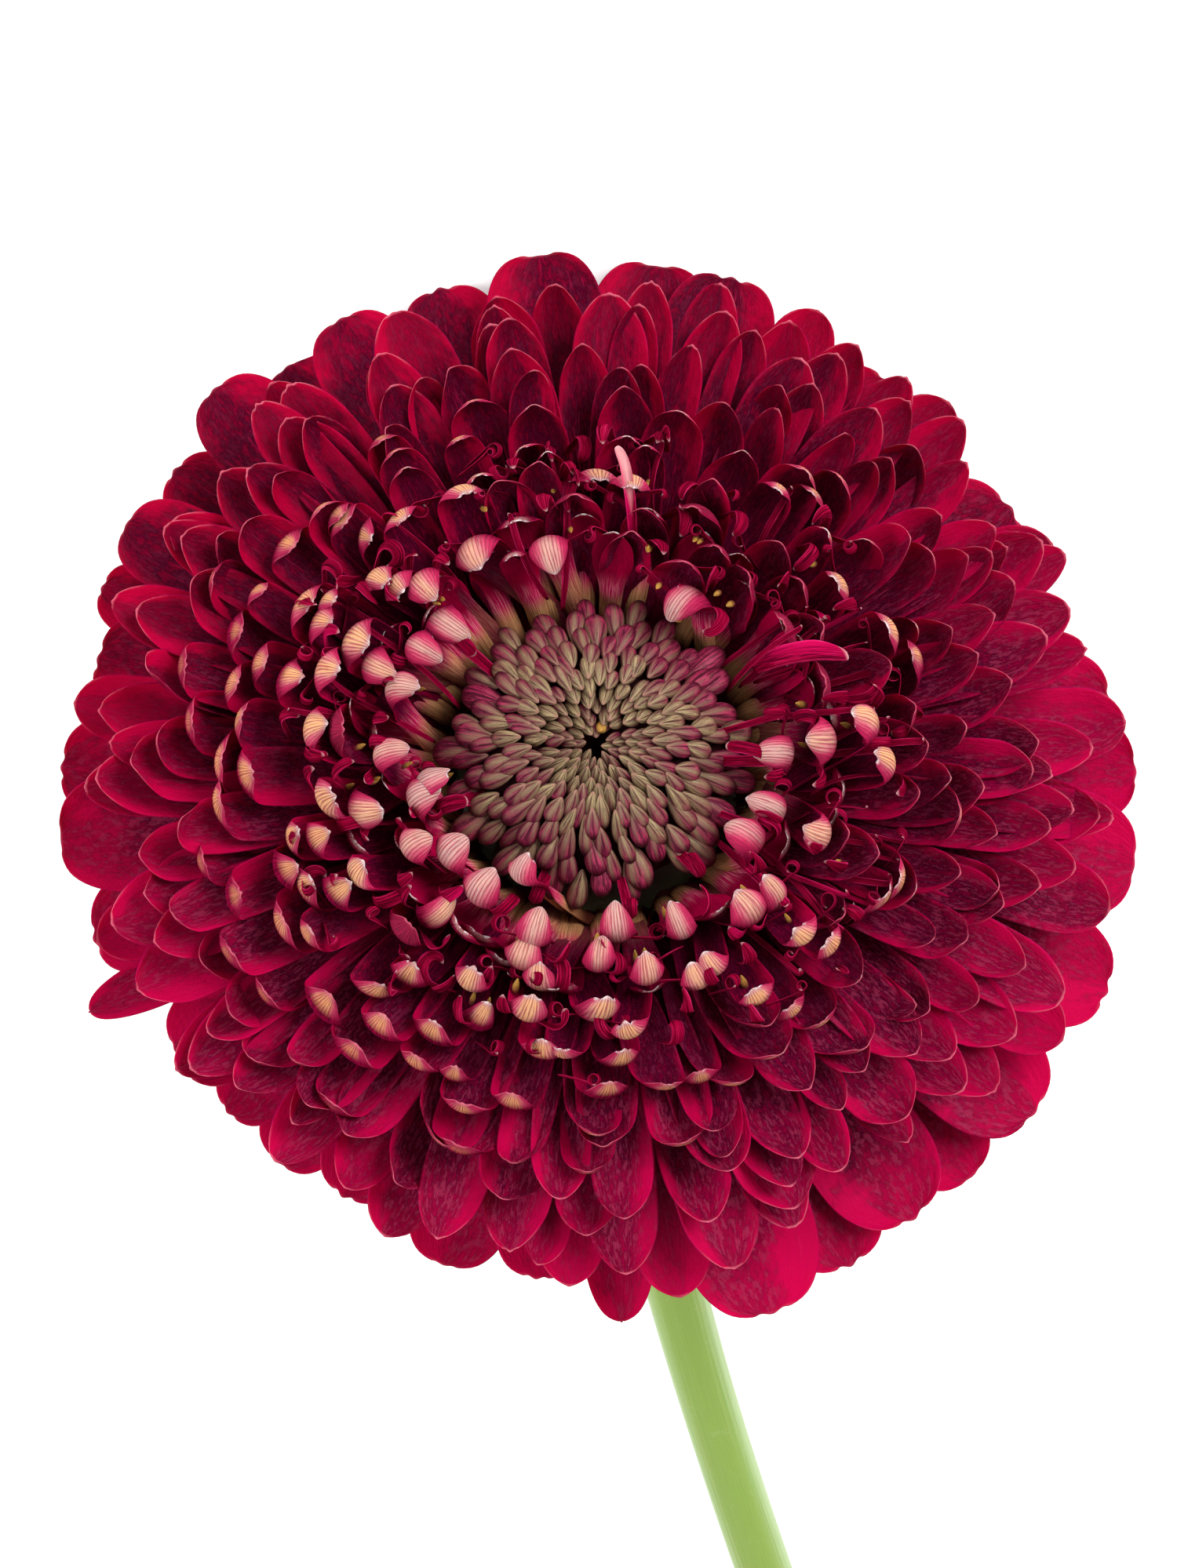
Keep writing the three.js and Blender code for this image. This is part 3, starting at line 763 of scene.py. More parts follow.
def bud_finish():
    """Closed florets: five olive lobes with pink seams, which meet at a darker tip, with a foot
    painted dark as shade among the buds.
    """
    paint = Paint(
        "olive_pink_bud", Subsurface_Weight=0.05, Subsurface_Radius=(1.0, 0.4, 0.3),
        Subsurface_Scale=0.0006, Specular_IOR_Level=0.25,
    )
    around, along, _ = paint.attribute("blade")
    tone, out, big = paint.attribute("floret")
    grain = paint.grain(1300, 3, 0.6)
    streak = paint.noise(paint.vector(around * 22, along * 1.2, tone * 70), 1.3, 4, 0.8)
    lobe = abs((around * 5 + streak * 0.5 + tone).math("FRACT") - 0.5) * 2
    seam = (1 - lobe.between(0.0, 0.22)) * along.between(0.3, 0.6)
    olive = paint.mix(tone, tint("bud"), DULL_OLIVE)
    olive = paint.mix(streak.between(0.5, 0.58) * 0.85, olive, LIGHT_STREAK)
    olive = paint.mix(1 - streak.between(0.38, 0.45), olive, DARK_STREAK)
    pink = paint.mix(streak.between(0.38, 0.55), BLUSH, DARK_BLUSH)
    blush = (1 - lobe) * 0.6 + out.between(0.3, 1.0) * 0.3 + big * 0.3 + tone * 0.8 + streak * 1.4
    blush = (blush - along * 0.9 - 0.46).clamped()
    colour = paint.mix(blush, olive, pink)
    colour = paint.mix(seam * 0.6, colour, SEAM)
    colour = paint.mix(along.between(0.86, 1.0) * 0.6, colour, BUD_TIP)
    # Painted shade: the foot of each bud, sunk among its neighbours, goes near black
    colour = paint.mix(1 - along.between(0.1, 0.45), colour, SHADED_BUD_FOOT)
    return paint.finish(
        Base_Color=colour, Roughness=grain * 0.2 + 0.42,
        Normal=paint.bump(grain * 0.3 + streak * 0.4 - seam, 0.00025, 0.8),
    )


def green_finish(name, fresh, shade, end_tone, ridges):
    """Green tissue with fine lengthwise ridges, soft hair, paler sides and another tone at one end.
    On the stalk the paler sides are a painted sheen, on the bracts their pale margins; the end tone
    is a flush on the bracts and the stalk, and painted shade on the receptacle.
    """
    paint = Paint(
        name, Sheen_Weight=0.3, Sheen_Roughness=0.5, Subsurface_Weight=0.15,
        Subsurface_Radius=(0.5, 1.0, 0.2), Subsurface_Scale=0.001,
    )
    around, along, _ = paint.attribute("blade")
    grain = paint.grain(700, 4, 0.6)
    blotch = paint.grain(60, 2, 0.5)
    streak = paint.noise(paint.vector(around * ridges, along * 12, 0.0), 1.5, 3, 0.6)
    colour = paint.mix((streak * 0.9 + blotch * 0.5 - 0.35).clamped(), fresh, shade)
    # Towards one end: a flush on the bracts and the stalk, painted shade on the receptacle
    colour = paint.mix(along.between(0.4, 1.0) * 0.95, colour, end_tone)
    # Paler towards the sides: on the stalk a painted sheen along its sides, on the bracts their pale
    # margins
    colour = paint.mix(abs(around).between(0.6, 1.0) * 0.5, colour, (0.42, 0.56, 0.3))
    colour = paint.mix(grain.between(0.6, 0.75) * 0.1, colour, (0.7, 0.8, 0.5))
    return paint.finish(
        Base_Color=colour, Roughness=grain * 0.25 + 0.35,
        Normal=paint.bump(streak + grain * 0.4, 0.0003, 0.6),
    )


def pollen_finish():
    """Anthers: brown-orange tubes with yellow pollen at their tips."""
    paint = Paint("yellow_pollen", Subsurface_Weight=0.1, Subsurface_Scale=0.0005)
    grain = paint.grain(2600, 3, 0.6)
    _, along, _ = paint.attribute("blade")
    colour = paint.mix(grain, POLLEN, POLLEN_SHADE)
    colour = paint.mix(1 - along.between(0.3, 0.7), colour, ANTHER_TUBE)
    return paint.finish(
        Base_Color=colour, Roughness=grain * 0.2 + 0.6, Normal=paint.bump(grain, 0.0003, 0.8)
    )


def table_finish():
    """A plain white table, a little brighter than the light alone makes it."""
    paint = Paint("white_table", Emission_Color=(1, 1, 1, 1), Emission_Strength=0.3)
    grain = paint.grain(40, 3, 0.5)
    colour = paint.mix(grain, (0.95, 0.95, 0.95), (0.97, 0.97, 0.97))
    return paint.finish(Base_Color=colour, Roughness=grain * 0.1 + 0.7)


# Sizes


def number(name, description, default, **more):
    """A property for a plain number."""
    return bpy.props.FloatProperty(name=name, description=description, default=default, **more)


def size(name, description, default, low=0.0):
    """A property for a length in millimetres."""
    return number(name, description + ", in millimetres", default, min=low, max=400.0)


def angle(name, description, degrees):
    """A property for an angle, given in degrees."""
    return number(name, description, math.radians(degrees), subtype="ANGLE")


def position(name, description, *default):
    """A property for a place in millimetres."""
    description += ", in millimetres"
    return bpy.props.FloatVectorProperty(
        name=name, description=description, default=default, size=len(default)
    )


def colour(name, description, *default):
    """A property for a colour."""
    return bpy.props.FloatVectorProperty(
        name=name, description=description, default=default, size=3, subtype="COLOR", min=0, max=1
    )


class GerberaColours(bpy.types.PropertyGroup):
    """The flower's main colours."""

    petal: colour("Petal", "Crimson of the petals' margins and of the rim", 0.47, 0.001, 0.055)
    velvet: colour("Velvet", "Maroon of the middle of a petal's face", 0.06, 0.0005, 0.014)
    cream: colour("Cream", "Pale middle of a hood", 0.53, 0.3, 0.28)
    hood: colour("Hood", "Pink flanks of a hood", 0.42, 0.01, 0.07)
    bud: colour("Bud", "Olive of the disc's closed florets", 0.22, 0.145, 0.075)
    stalk: colour("Stalk", "Fresh green of the stalk", 0.27, 0.38, 0.06)
    bract: colour("Bract", "Green of the bracts", 0.2, 0.33, 0.07)


class GerberaHead(bpy.types.PropertyGroup):
    """The head's place on the table, its receptacle and the dome of its tips."""

    centre: position("Centre", "Middle of the receptacle's foot", -0.592, -108.554, 38.6)
    elevation: angle("Elevation", "How far the face looks up from the horizon", 50)
    bearing: angle("Bearing", "How far the neck turns away from the stalk's line", -17.5)
    seat_outer: position("Outer seat", "Radius and height of the outer florets' feet", 18.5, 1.0)
    seat_inner: position("Inner seat", "Radius and height of the inmost florets' feet", 13.2, 8.0)
    dome_radius: size("Dome radius", "Radius at which the dome of tips falls to nothing", 58)
    dome_height: size("Dome height", "Height of the dome of tips", 26)
    dome_shoulder: number("Shoulder", "Power of the radius: higher is flatter on top", 3.2, min=1)
    dome_fall: number("Fall", "Power of the fall towards the rim", 0.62, min=0.2)
    ray_tip_outer: size("Ray tips", "Radius of the outermost inner rays' tips", 52.6)
    hood_tip_inner: size("Hood crests", "Radius of the innermost hoods' crests", 17.4)
    floret_area: number("Floret area", "Square millimetres of the face for each tip", 24.0, min=5)


class GerberaOuterRays(bpy.types.PropertyGroup):
    """The two widest rows of ray florets at the rim."""

    tip_height: size("Tip height", "Height of the lower row's tips above the foot", -2.4, -20)
    row_step: size("Row step", "The upper row's tips above the lower row's", 1.9)
    thickness: size("Thickness", "Thickness of a petal", 0.34)
    channel: angle("Channel", "Half angle of the arc across a petal", 24)


class GerberaDisc(bpy.types.PropertyGroup):
    """The closed florets of the disc."""

    radius: size("Radius", "Radius of the disc", 14.9)
    rim_height: size("Rim height", "Height of the disc's rim", 18.5)
    top: size("Top", "Height of the disc's highest ring", 23.5)
    dimple: size("Dimple", "Depth of the hollow in its middle", 2.2)
    spacing: size("Spacing", "Between the buds in the middle", 0.86)
    spread: number("Spread", "How much the spacing grows for each millimetre outwards", 0.098)
    bud_length: number("Bud length", "Length of a bud as a share of the spacing", 2.2)
    bud_width: number("Bud width", "Width of a bud as a share of the spacing", 1.14)


class GerberaStalk(bpy.types.PropertyGroup):
    """The bare stalk, from the neck to the cut."""

    neck_radius: size("Neck radius", "Radius below the head", 4.3)
    radius: size("Radius", "Radius of the stalk", 3.3)
    foot_radius: size("Foot radius", "Radius at the cut", 3.5)
    reach: size("Reach", "From under the head's centre to the cut", 262)
    offset: size("Offset", "Of the stalk's line from the head's centre", 16)
    bow: size("Bow", "Sideways, at the middle", 3)
    end_height: size("End height", "Height of the centre of the cut", 3.73)
    cut_slant: angle("Cut slant", "Angle of the cut", 45)


class GerberaStage(bpy.types.PropertyGroup):
    """Camera, table and light."""

    distance: number("Distance", "From the camera to the head", 0.55, unit="LENGTH")
    tilt: angle("Tilt", "How far the camera looks from below the face's normal", 11)
    scale: number("Scale", "Millimetres at the head for each photograph's pixel", 0.081, precision=4)


# Operators


class AddOuterRays(bpy.types.Operator):
    """Adds the wide outer ray florets, each in its CAD node's place"""

    bl_idname = "gerbera.outer_rays"
    bl_label = "Outer ray florets"

    def execute(self, context):
        rays = context.scene.gerbera_outer_rays
        azimuth, reach, width = np.array(OUTER_RAYS, float).T
        count = len(azimuth)
        rng, normal = variation(3, count, 6)
        row = np.arange(count) % 2
        narrow = width < 7.2
        florets = florets_of(
            count, **layer_seats(row), azimuth=np.radians(azimuth), radius=reach,
            height=rays.tip_height + row * rays.row_step, foot_handle=13.0 + row, tip_handle=11,
            lean=math.radians(-14), curl=np.radians(13 + normal[0] * 5), curl_length=9,
            claw=2.5, width=width * 1.12, blade_start=0.62,
            tip_length=np.where(narrow, 8.0, width * 0.6), tip_power=2.0, tip_blunt=0.5,
            claw_channel=1.6, channel=rays.channel, tip_channel=0.5, wave=0.45, wave_pitch=0.32,
            tip_end=np.where(narrow, 0.06, 0.26), tooth=0.05 + 0.25 * rng.random(count),
            twist=normal[1] * 0.06, sway=normal[2] * 0.4, thickness=rays.thickness,
            tone=rng.random(count),
        )
        florets["height"] = self.resting(florets, row)
        # The rays at the top of the head are painted darkest, as shade
        top = smooth((np.cos(florets["azimuth"] - 1.75) + 0.2) / 1.2)
        florets["tone"] = (0.1 + 0.7 * top + normal[3] * 0.1).clip(0, 1)
        finish = petal_finish("outer_petal", 0.95, 0.05)
        for i in range(count):
            add_florets(
                f"outer_petal_{i + 1:02d}", chosen(florets, [i]), LONG, 11, finish,
                [f"outer_ray_{i + 1:02d}"],
            )
        return {"FINISHED"}

    def resting(self, florets, row):
        """Tip heights: tips near the table are brought to rest a small gap above it.

        The height at which each does so is found by halving a span 20 times.
        """
        gap, span = 0.12, 16.0

        def lowest(height):
            """Each floret's lowest point above the table, with its tip at that height."""
            points, _, _ = ligules(florets | {"height": height}, LONG, 5)
            return from_head(points)[..., 2].min(axis=(1, 2))

        free = florets["height"]
        near = lowest(free) < np.where(row == 0, 9.0, 0.1)
        low, high = free - span, free + span
        for _ in range(20):
            middle = (low + high) / 2
            under = lowest(middle) < gap
            low, high = np.where(under, middle, low), np.where(under, high, middle)
        return np.where(near, high, free)


class AddFaceFlorets(bpy.types.Operator):
    """Adds the inner ray florets and the hooded florets round the disc"""

    bl_idname = "gerbera.face_florets"
    bl_label = "Inner ray and hooded florets"

    def execute(self, context):
        florets = head_florets()
        self.throat_petals()
        radius = florets["radius"]
        whorl = np.floor((RIM_TIPS - radius) / WHORL_STEP + 0.5).clip(0, 4)
        hooded = (radius < FIRST_HOODS).astype(int) + (radius < SECOND_HOODS)
        for i in range(5):
            table = chosen(florets, (whorl == i) & (hooded == 0))
            if i == 0:
                table = joined(table, self.between_rays())
            velvet, reach, shell = 0.7 + 0.12 * i, 0.08 + 0.06 * i, 0.2 + 0.19 * i
            add_florets(
                f"ray_petals_{i + 1:02d}", table, SHORT, 5,
                petal_finish(f"ray_petal_{i + 1:02d}", velvet, reach, shell),
                [f"ray_whorl_{i + 1:02d}"],
            )
        for i in (1, 2):
            add_florets(
                f"hooded_petals_{i:02d}", chosen(florets, hooded == i), HOOD, 7,
                petal_finish(f"hooded_petal_{i:02d}", 1.1, 0.3 + 0.2 * i), [f"hooded_whorl_{i:02d}"],
            )
        return {"FINISHED"}

    def throat_petals(self):
        """The innermost straps: a ring of short tan tubes by the disc, each opening to a blade."""
        head = bpy.context.scene.gerbera_head
        count = 38
        rng, normal = variation(31, count, 6)
        radius = 23.5 + normal[0] * 1.6
        florets = florets_of(
            count,
            azimuth=(np.arange(count) + normal[1] * 0.2) / count * 2 * math.pi,
            seat_radius=head.seat_inner[0] + 0.8, seat_height=head.seat_inner[1],
            rise=np.radians(78 + normal[2] * 3), foot_handle=9, radius=radius,
            height=dome_height(radius) - 2.6 + normal[3], tip_handle=6,
            lean=np.radians(54 + normal[4] * 6), curl=np.radians(60 + normal[5] * 30),
            curl_length=3.6, claw=3.3, claw_end=0.45, blade_start=0.85, claw_channel=-1.4,
            width=5.0 + normal[1] * 0.6, channel=0.7, tip_channel=0.8, tip_length=3.4,
            tip_blunt=0.5, tip_end=0.3, twist=normal[2] * 0.2, sway=normal[3] * 0.7,
            tone=rng.random(count), layer=1.0,
        )
        finish = petal_finish("throat_petal", 0.4, 0.1, 0.6, 0.44)
        add_florets("throat_petals", florets, THROAT, 5, finish)

    def between_rays(self):
        """Rim florets that fill the notches between the outer rays."""
        azimuth, reach, width = np.array(BETWEEN_RAYS, float).T
        return florets_of(
            len(azimuth), **layer_seats(2), azimuth=np.radians(azimuth), radius=reach,
            height=dome_height(reach) - 3.0, foot_handle=17, tip_handle=14,
            lean=math.radians(-10), curl=math.radians(30), curl_length=6, width=width,
            tip_length=width * 0.6, tip_blunt=0.5, channel=0.7, tip_channel=0.8,
            tone=azimuth % 1.7 / 1.7, layer=0.15,
        )


class AddLips(bpy.types.Operator):
    """Adds the thin curled inner lips, the anthers and the straps that stand out of order"""

    bl_idname = "gerbera.lips"
    bl_label = "Curled lips and anthers"

    def execute(self, context):
        hoods = head_florets()
        hoods = chosen(hoods, (hoods["radius"] < 32) & (hoods["radius"] > 17))
        hoods = {key: np.repeat(value, 2) for key, value in hoods.items()}
        count = len(hoods["radius"])
        side = np.tile([-1.0, 1.0], count // 2)
        rng, normal = variation(23, count, 8)
        radius = hoods["radius"] + 0.4 + normal[0] * 1.1
        height = hoods["height"] - 0.6 + normal[1] * 0.6
        # Two lips stand before each hood, and some of them are coiled up
        coiled = rng.random(count) < 0.4
        curl = np.radians(np.where(coiled, 330, 150) + normal[4] * 50)
        lips = florets_of(
            count,
            azimuth=hoods["azimuth"] + (side * 1.7 + normal[2] * 0.5) / radius,
            seat_radius=radius - 1.0, seat_height=height - 5, rise=math.radians(84),
            foot_handle=2, radius=radius, height=height, tip_handle=1.5,
            lean=np.radians(80 + normal[3] * 14), curl=curl,
            curl_length=curl * np.where(coiled, 0.7, 1.3) * (1 + normal[5] * 0.2), claw=1.2,
            width=np.where(coiled, 1.0, 1.6), blade_start=0.5, claw_channel=0.9, channel=0.8,
            tip_channel=0.7, tip_length=2.0, wave=0.1, wave_pitch=2.0,
            twist=np.where(coiled, 0.4, 1.2) * normal[6], sway=normal[7] * 0.6,
            roll=side * (np.where(coiled, 0.9, 0.4) + normal[6] * 0.25), thickness=0.22,
            tone=rng.random(count) * 0.85,
        )
        azimuth, reach, height, lean, curl, length, width, tone, sway = np.array(STRAPS, float).T
        straps = florets_of(
            len(azimuth),
            azimuth=np.radians(azimuth), seat_radius=reach - 8, seat_height=height - 7,
            rise=math.radians(70), foot_handle=4, radius=reach, height=height, tip_handle=4,
            lean=np.radians(lean), curl=np.radians(curl), curl_length=length, claw=width * 0.8,
            width=width, claw_channel=1.3, channel=1.1, tip_channel=1.1, tip_length=width * 0.8,
            tip_end=0.6, tip_blunt=0.5, twist=0.2, sway=sway, tone=tone,
        )
        finish = lip_finish()
        add_florets("curled_lips", lips, LIP, 3, finish)
        add_florets("long_lips", self.long_lips(), LIP, 3, finish)
        add_florets("single_straps", straps, LIP, 3, finish)
        self.anthers(hoods, rng)
        return {"FINISHED"}

    def long_lips(self):
        """Long lips that lie outwards over the straps, mostly to the right, with hooked tips."""
        count = 32
        rng, normal = variation(41, count, 8)
        azimuth = np.where(rng.random(count) < 0.7, normal[0] * 0.5, 2.0 + normal[0] * 0.9)
        radius = 28.5 + normal[1] * 2.6
        return florets_of(
            count, azimuth=azimuth, seat_radius=radius - 10 + normal[2] * 1.5,
            seat_height=dome_height(radius) - 8, rise=math.radians(60), foot_handle=5,
            radius=radius, height=dome_height(radius) - 0.6 + normal[3] * 0.9, tip_handle=6,
            lean=np.radians(12 + normal[4] * 12), curl=np.radians(130 + normal[5] * 60),
            curl_length=1.7 + normal[6] * 0.5, claw=0.7, width=0.85 + normal[7] * 0.2,
            claw_channel=1.0, channel=0.9, tip_channel=0.9, tip_length=2.2, tip_end=0.3,
            twist=normal[6] * 0.8, sway=normal[5] * 1.8, roll=normal[2] * 0.2,
            thickness=0.24, tone=rng.random(count) * 0.85,
        )

    def anthers(self, hoods, rng):
        """Anthers among the hoods, and one more in the middle of the disc."""
        count = 43
        which = rng.permutation(len(hoods["radius"]))[:count]
        azimuth = np.append(hoods["azimuth"][which] + rng.normal(0, 0.05, count), 1.3)
        radius = np.append(hoods["radius"][which] - 2.6, 2.6)
        height = np.append(hoods["height"][which] - 2.4 + rng.normal(0, 0.5, count), 22.6)
        out = outward(azimuth)
        base = out * radius[:, None] + UP * (height - 2.4)[:, None]
        width = np.append(rng.uniform(0.6, 1.0, count), 1.7)
        points, quads, caps, place = spindles(
            base, UP * 0.94 - out * 0.34, out * 0.94 + UP * 0.34, np.full(count + 1, 2.8), width,
            -0.1, 6,
        )
        solid(
            "anthers", from_head(points), quads, pollen_finish(), [],
            {"blade": place}, extra=caps, levels=1,
        )


class AddDisc(bpy.types.Operator):
    """Adds the closed florets of the disc"""

    bl_idname = "gerbera.disc"
    bl_label = "Disc of closed florets"

    def execute(self, context):
        disc = context.scene.gerbera_disc
        # The buds' number within a radius is the sum of the rings' areas over the spacing's square
        fine = np.linspace(1.5, disc.radius - 0.4, 400)
        spacing = disc.spacing + disc.spread * fine
        counted = np.cumsum(2 * math.pi * fine / spacing**2 * (fine[1] - fine[0]))
        count = int(counted[-1])
        radius = np.interp(np.arange(count) + 0.5, counted, fine)
        rng, normal = variation(11, count, 5)
        azimuth = -np.arange(count) * GOLDEN_ANGLE + normal[0] * (0.02 + 0.12 / radius)
        share = radius / disc.radius
        # Some buds are bigger, most of them near the rim
        big = (rng.random(count) < 0.03 + 0.2 * (share > 0.8)) & (share > 0.25)
        # The tips stand highest in a ring round the hollow, and fall from there to the rim
        dome = disc.top - disc.dimple * (1 - smooth(share / 0.5))
        dome = dome - (disc.top - disc.rim_height) * smooth((share - 0.5) / 0.62)
        room = disc.spacing + disc.spread * radius
        length = disc.bud_length * mix(0.95, 1.0, share) * room * np.where(big, 1.15, 1)
        length = length * (1 + normal[1] * 0.12)
        width = disc.bud_width * mix(1.12, 1.0, share) * room * np.where(big, 1.25, 1)
        width = width * (1 + normal[2] * 0.1)
        pitch = np.radians(mix(62, 50, share) + normal[3] * 6)[:, None]
        out = outward(azimuth)
        aside = np.cross(UP, out)
        axis = -out * np.cos(pitch) + UP * np.sin(pitch) + aside * (normal[4] * 0.13)[:, None]
        axis /= np.linalg.norm(axis, axis=1, keepdims=True)
        lift = out * np.sin(pitch) + UP * np.cos(pitch)
        top = out * (radius[:, None] - 0.25 * length[:, None] * np.cos(pitch)) + UP * dome[:, None]
        base = top - axis * (length * 0.8)[:, None] + UP * 0.3
        points, quads, caps, place = spindles(base, axis, lift, length, width, -0.25)
        kinds = stacked(rng.random(count), share, big)[:, None, None] + 0 * place
        solid(
            "disc_buds", from_head(points), quads, bud_finish(), ["disc_florets"],
            {"blade": place, "floret": kinds}, levels=1, extra=caps,
        )
        self.ground(disc)
        return {"FINISHED"}

    def ground(self, disc):
        """A dark dome of revolution just under the buds: painted shade in the gaps between them."""
        points, quads, caps = revolved(np.array(DISC_SHADE_DOME) + [0, disc.top], 32)
        paint = Paint("dark_ground", Specular_IOR_Level=0.05)
        grain = paint.grain(900, 3, 0.6)
        # Painted shade: near-black colours seen in the gaps between the buds
        colour = paint.mix(grain, SHADE_GROUND_DARK, SHADE_GROUND_LIGHT)
        finish = paint.finish(Base_Color=colour, Roughness=grain * 0.3 + 0.5)
        solid("disc_ground", from_head(points), quads, finish, [], extra=caps)


class AddBracts(bpy.types.Operator):
    """Adds the rows of green bracts under the head"""

    bl_idname = "gerbera.bracts"
    bl_label = "Bracts"

    def execute(self, context):
        finish = green_finish("bract_green", tint("bract"), (0.1, 0.2, 0.04), (0.28, 0.12, 0.08), 9)
        for number, rows in enumerate(BRACT_ROWS, 1):
            tables = [self.row(number * 2 + k, *row) for k, row in enumerate(rows)]
            points, quads, values = ligules(joined(*tables), SHORT, 5)
            # The share along takes the place of the distance from the tip
            blade = values["blade"]
            blade[..., 1] = values["floret"][..., 2]
            solid(
                f"bracts_{number:02d}", from_head(points), quads, finish,
                [f"bract_row_{number:02d}"], {"blade": blade}, levels=1,
            )
        return {"FINISHED"}

    def row(self, seed, count, seat, rise, tip, lean, width):
        """One row of pointed bracts."""
        rng, normal = variation(seed, count, 5)
        return florets_of(
            count, azimuth=ring_of(count) + seed * 0.37 / count * 2 * math.pi + normal[0] * 0.03,
            seat_radius=seat[0], seat_height=seat[1], rise=math.radians(rise), foot_handle=4,
            radius=tip[0] + normal[1] * 0.6, height=tip[1] + normal[2] * 0.4,
            lean=math.radians(lean), tip_handle=4, curl=np.radians(14 + normal[3] * 5),
            curl_length=1.6, claw=3.6, width=width, claw_end=0.05, blade_start=0.3,
            tip_length=7.5, tip_power=1.35, tip_blunt=1.0, claw_channel=0.35, channel=0.5,
            tip_channel=0.5, wave=0, twist=normal[4] * 0.05, thickness=0.6,
            tone=rng.random(count),
        )


class AddStalk(bpy.types.Operator):
    """Adds the stalk and the receptacle that it widens into"""

    bl_idname = "gerbera.stalk"
    bl_label = "Stalk and receptacle"

    def execute(self, context):
        stalk = context.scene.gerbera_stalk
        axes, centre = head_axes()
        normal = axes[:, 2]
        start = centre - 3 * normal
        end = np.array([stalk.offset + centre[0], centre[1] + stalk.reach, stalk.end_height])
        # The neck bends down to the knee, and from there the stalk runs out along the table
        knee = np.array([stalk.offset + centre[0] - 2.8, centre[1] + 62, 17.2])
        ahead = (end - knee) / np.linalg.norm(end - knee)
        bowed = mix(knee, end, 0.6) + [stalk.bow, 0, 0]
        # The handles at the knee lean aside, so that the stalk runs as in the photograph
        before, after = knee - 30 * ahead - [3.2, 0, 0], knee + 50 * ahead + [5.4, 0, 0]
        share = np.linspace(0, 1, 41)
        neck, neck_to = bezier((start, start - 24 * normal, before, knee), share)
        run, run_to = bezier((knee, after, bowed, end), share)
        at = np.concatenate([neck, run[1:]])
        to = np.concatenate([neck_to, run_to[1:]])
        to /= np.linalg.norm(to, axis=1, keepdims=True)
        # Every ring but the end ones is eased towards its neighbours, so that the bend is even
        for _ in range(12):
            for line in (at, to):
                line[2:-2] = line[2:-2] / 2 + (line[1:-3] + line[3:-1]) / 4
        to /= np.linalg.norm(to, axis=1, keepdims=True)
        self.tube(stalk, at, to)
        self.cup()
        return {"FINISHED"}

    def tube(self, stalk, at, to):
        """A round tube with shallow ridges along it, whose last ring is sheared to the cut.

        Smaller and smaller rings, a little further back each, make the hollow of the pith.
        """
        sides = 48
        steps = np.linalg.norm(np.diff(at, axis=0), axis=1)
        along = np.concatenate([[0], np.cumsum(steps)])
        radius = mix(stalk.neck_radius, stalk.radius, smooth(along / 110))
        radius = mix(radius, stalk.foot_radius, smooth(along / along[-1] * 2 - 1))
        side = np.cross(to, UP)
        side /= np.linalg.norm(side, axis=1, keepdims=True)
        top = np.cross(side, to)
        turn = ring_of(sides) - math.pi / 2
        across = radius[:, None] * (1 - 0.018 * (1 - np.cos(turn * 12)) / 2)
        points = at[:, None] - side[:, None] * (across * np.cos(turn))[..., None]
        points = points + top[:, None] * (across * np.sin(turn))[..., None]
        slant = math.tan(stalk.cut_slant) * across[-1] * np.sin(turn)
        points[-1] -= to[-1] * slant[:, None]
        pith = points[-1].mean(0)
        inner = [
            pith + (points[-1] - pith) * size - to[-1] * depth
            for size, depth in ((0.9, 0.0), (0.82, 0.25), (0.5, 0.5), (0.2, 0.6))
        ]
        points = np.concatenate([points, np.array(inner)])
        length = np.append(along / along[-1], np.ones(len(inner)))
        blade = stacked(np.cos(turn), length[:, None] * 0.5, 0.0)
        finish = green_finish("stalk_green", tint("stalk"), (0.2, 0.38, 0.045), (0.34, 0.47, 0.2), 8)
        solid(
            "stalk", points, grid_quads(len(points), sides, True), finish,
            ["stalk_and_receptacle"], {"blade": blade}, extra=end_caps(len(points), sides),
        )

    def cup(self):
        """The receptacle: a surface of revolution from the neck to the seats, painted darker towards
        its top as shade under the florets.
        """
        sides = 48
        points, quads, caps = revolved(RECEPTACLE, sides)
        height = np.array(RECEPTACLE)[:, 1, None]
        blade = stacked(ring_of(sides) / 4 / math.pi, smooth((height + 1) / 3), 0.0)
        # The near-black end tone is painted shade under the florets' feet
        finish = green_finish(
            "receptacle_green", (0.2, 0.36, 0.07), (0.12, 0.24, 0.05), (0.06, 0.012, 0.012), 60
        )
        solid(
            "receptacle", from_head(points), quads, finish, [], {"blade": blade}, levels=1,
            extra=caps,
        )


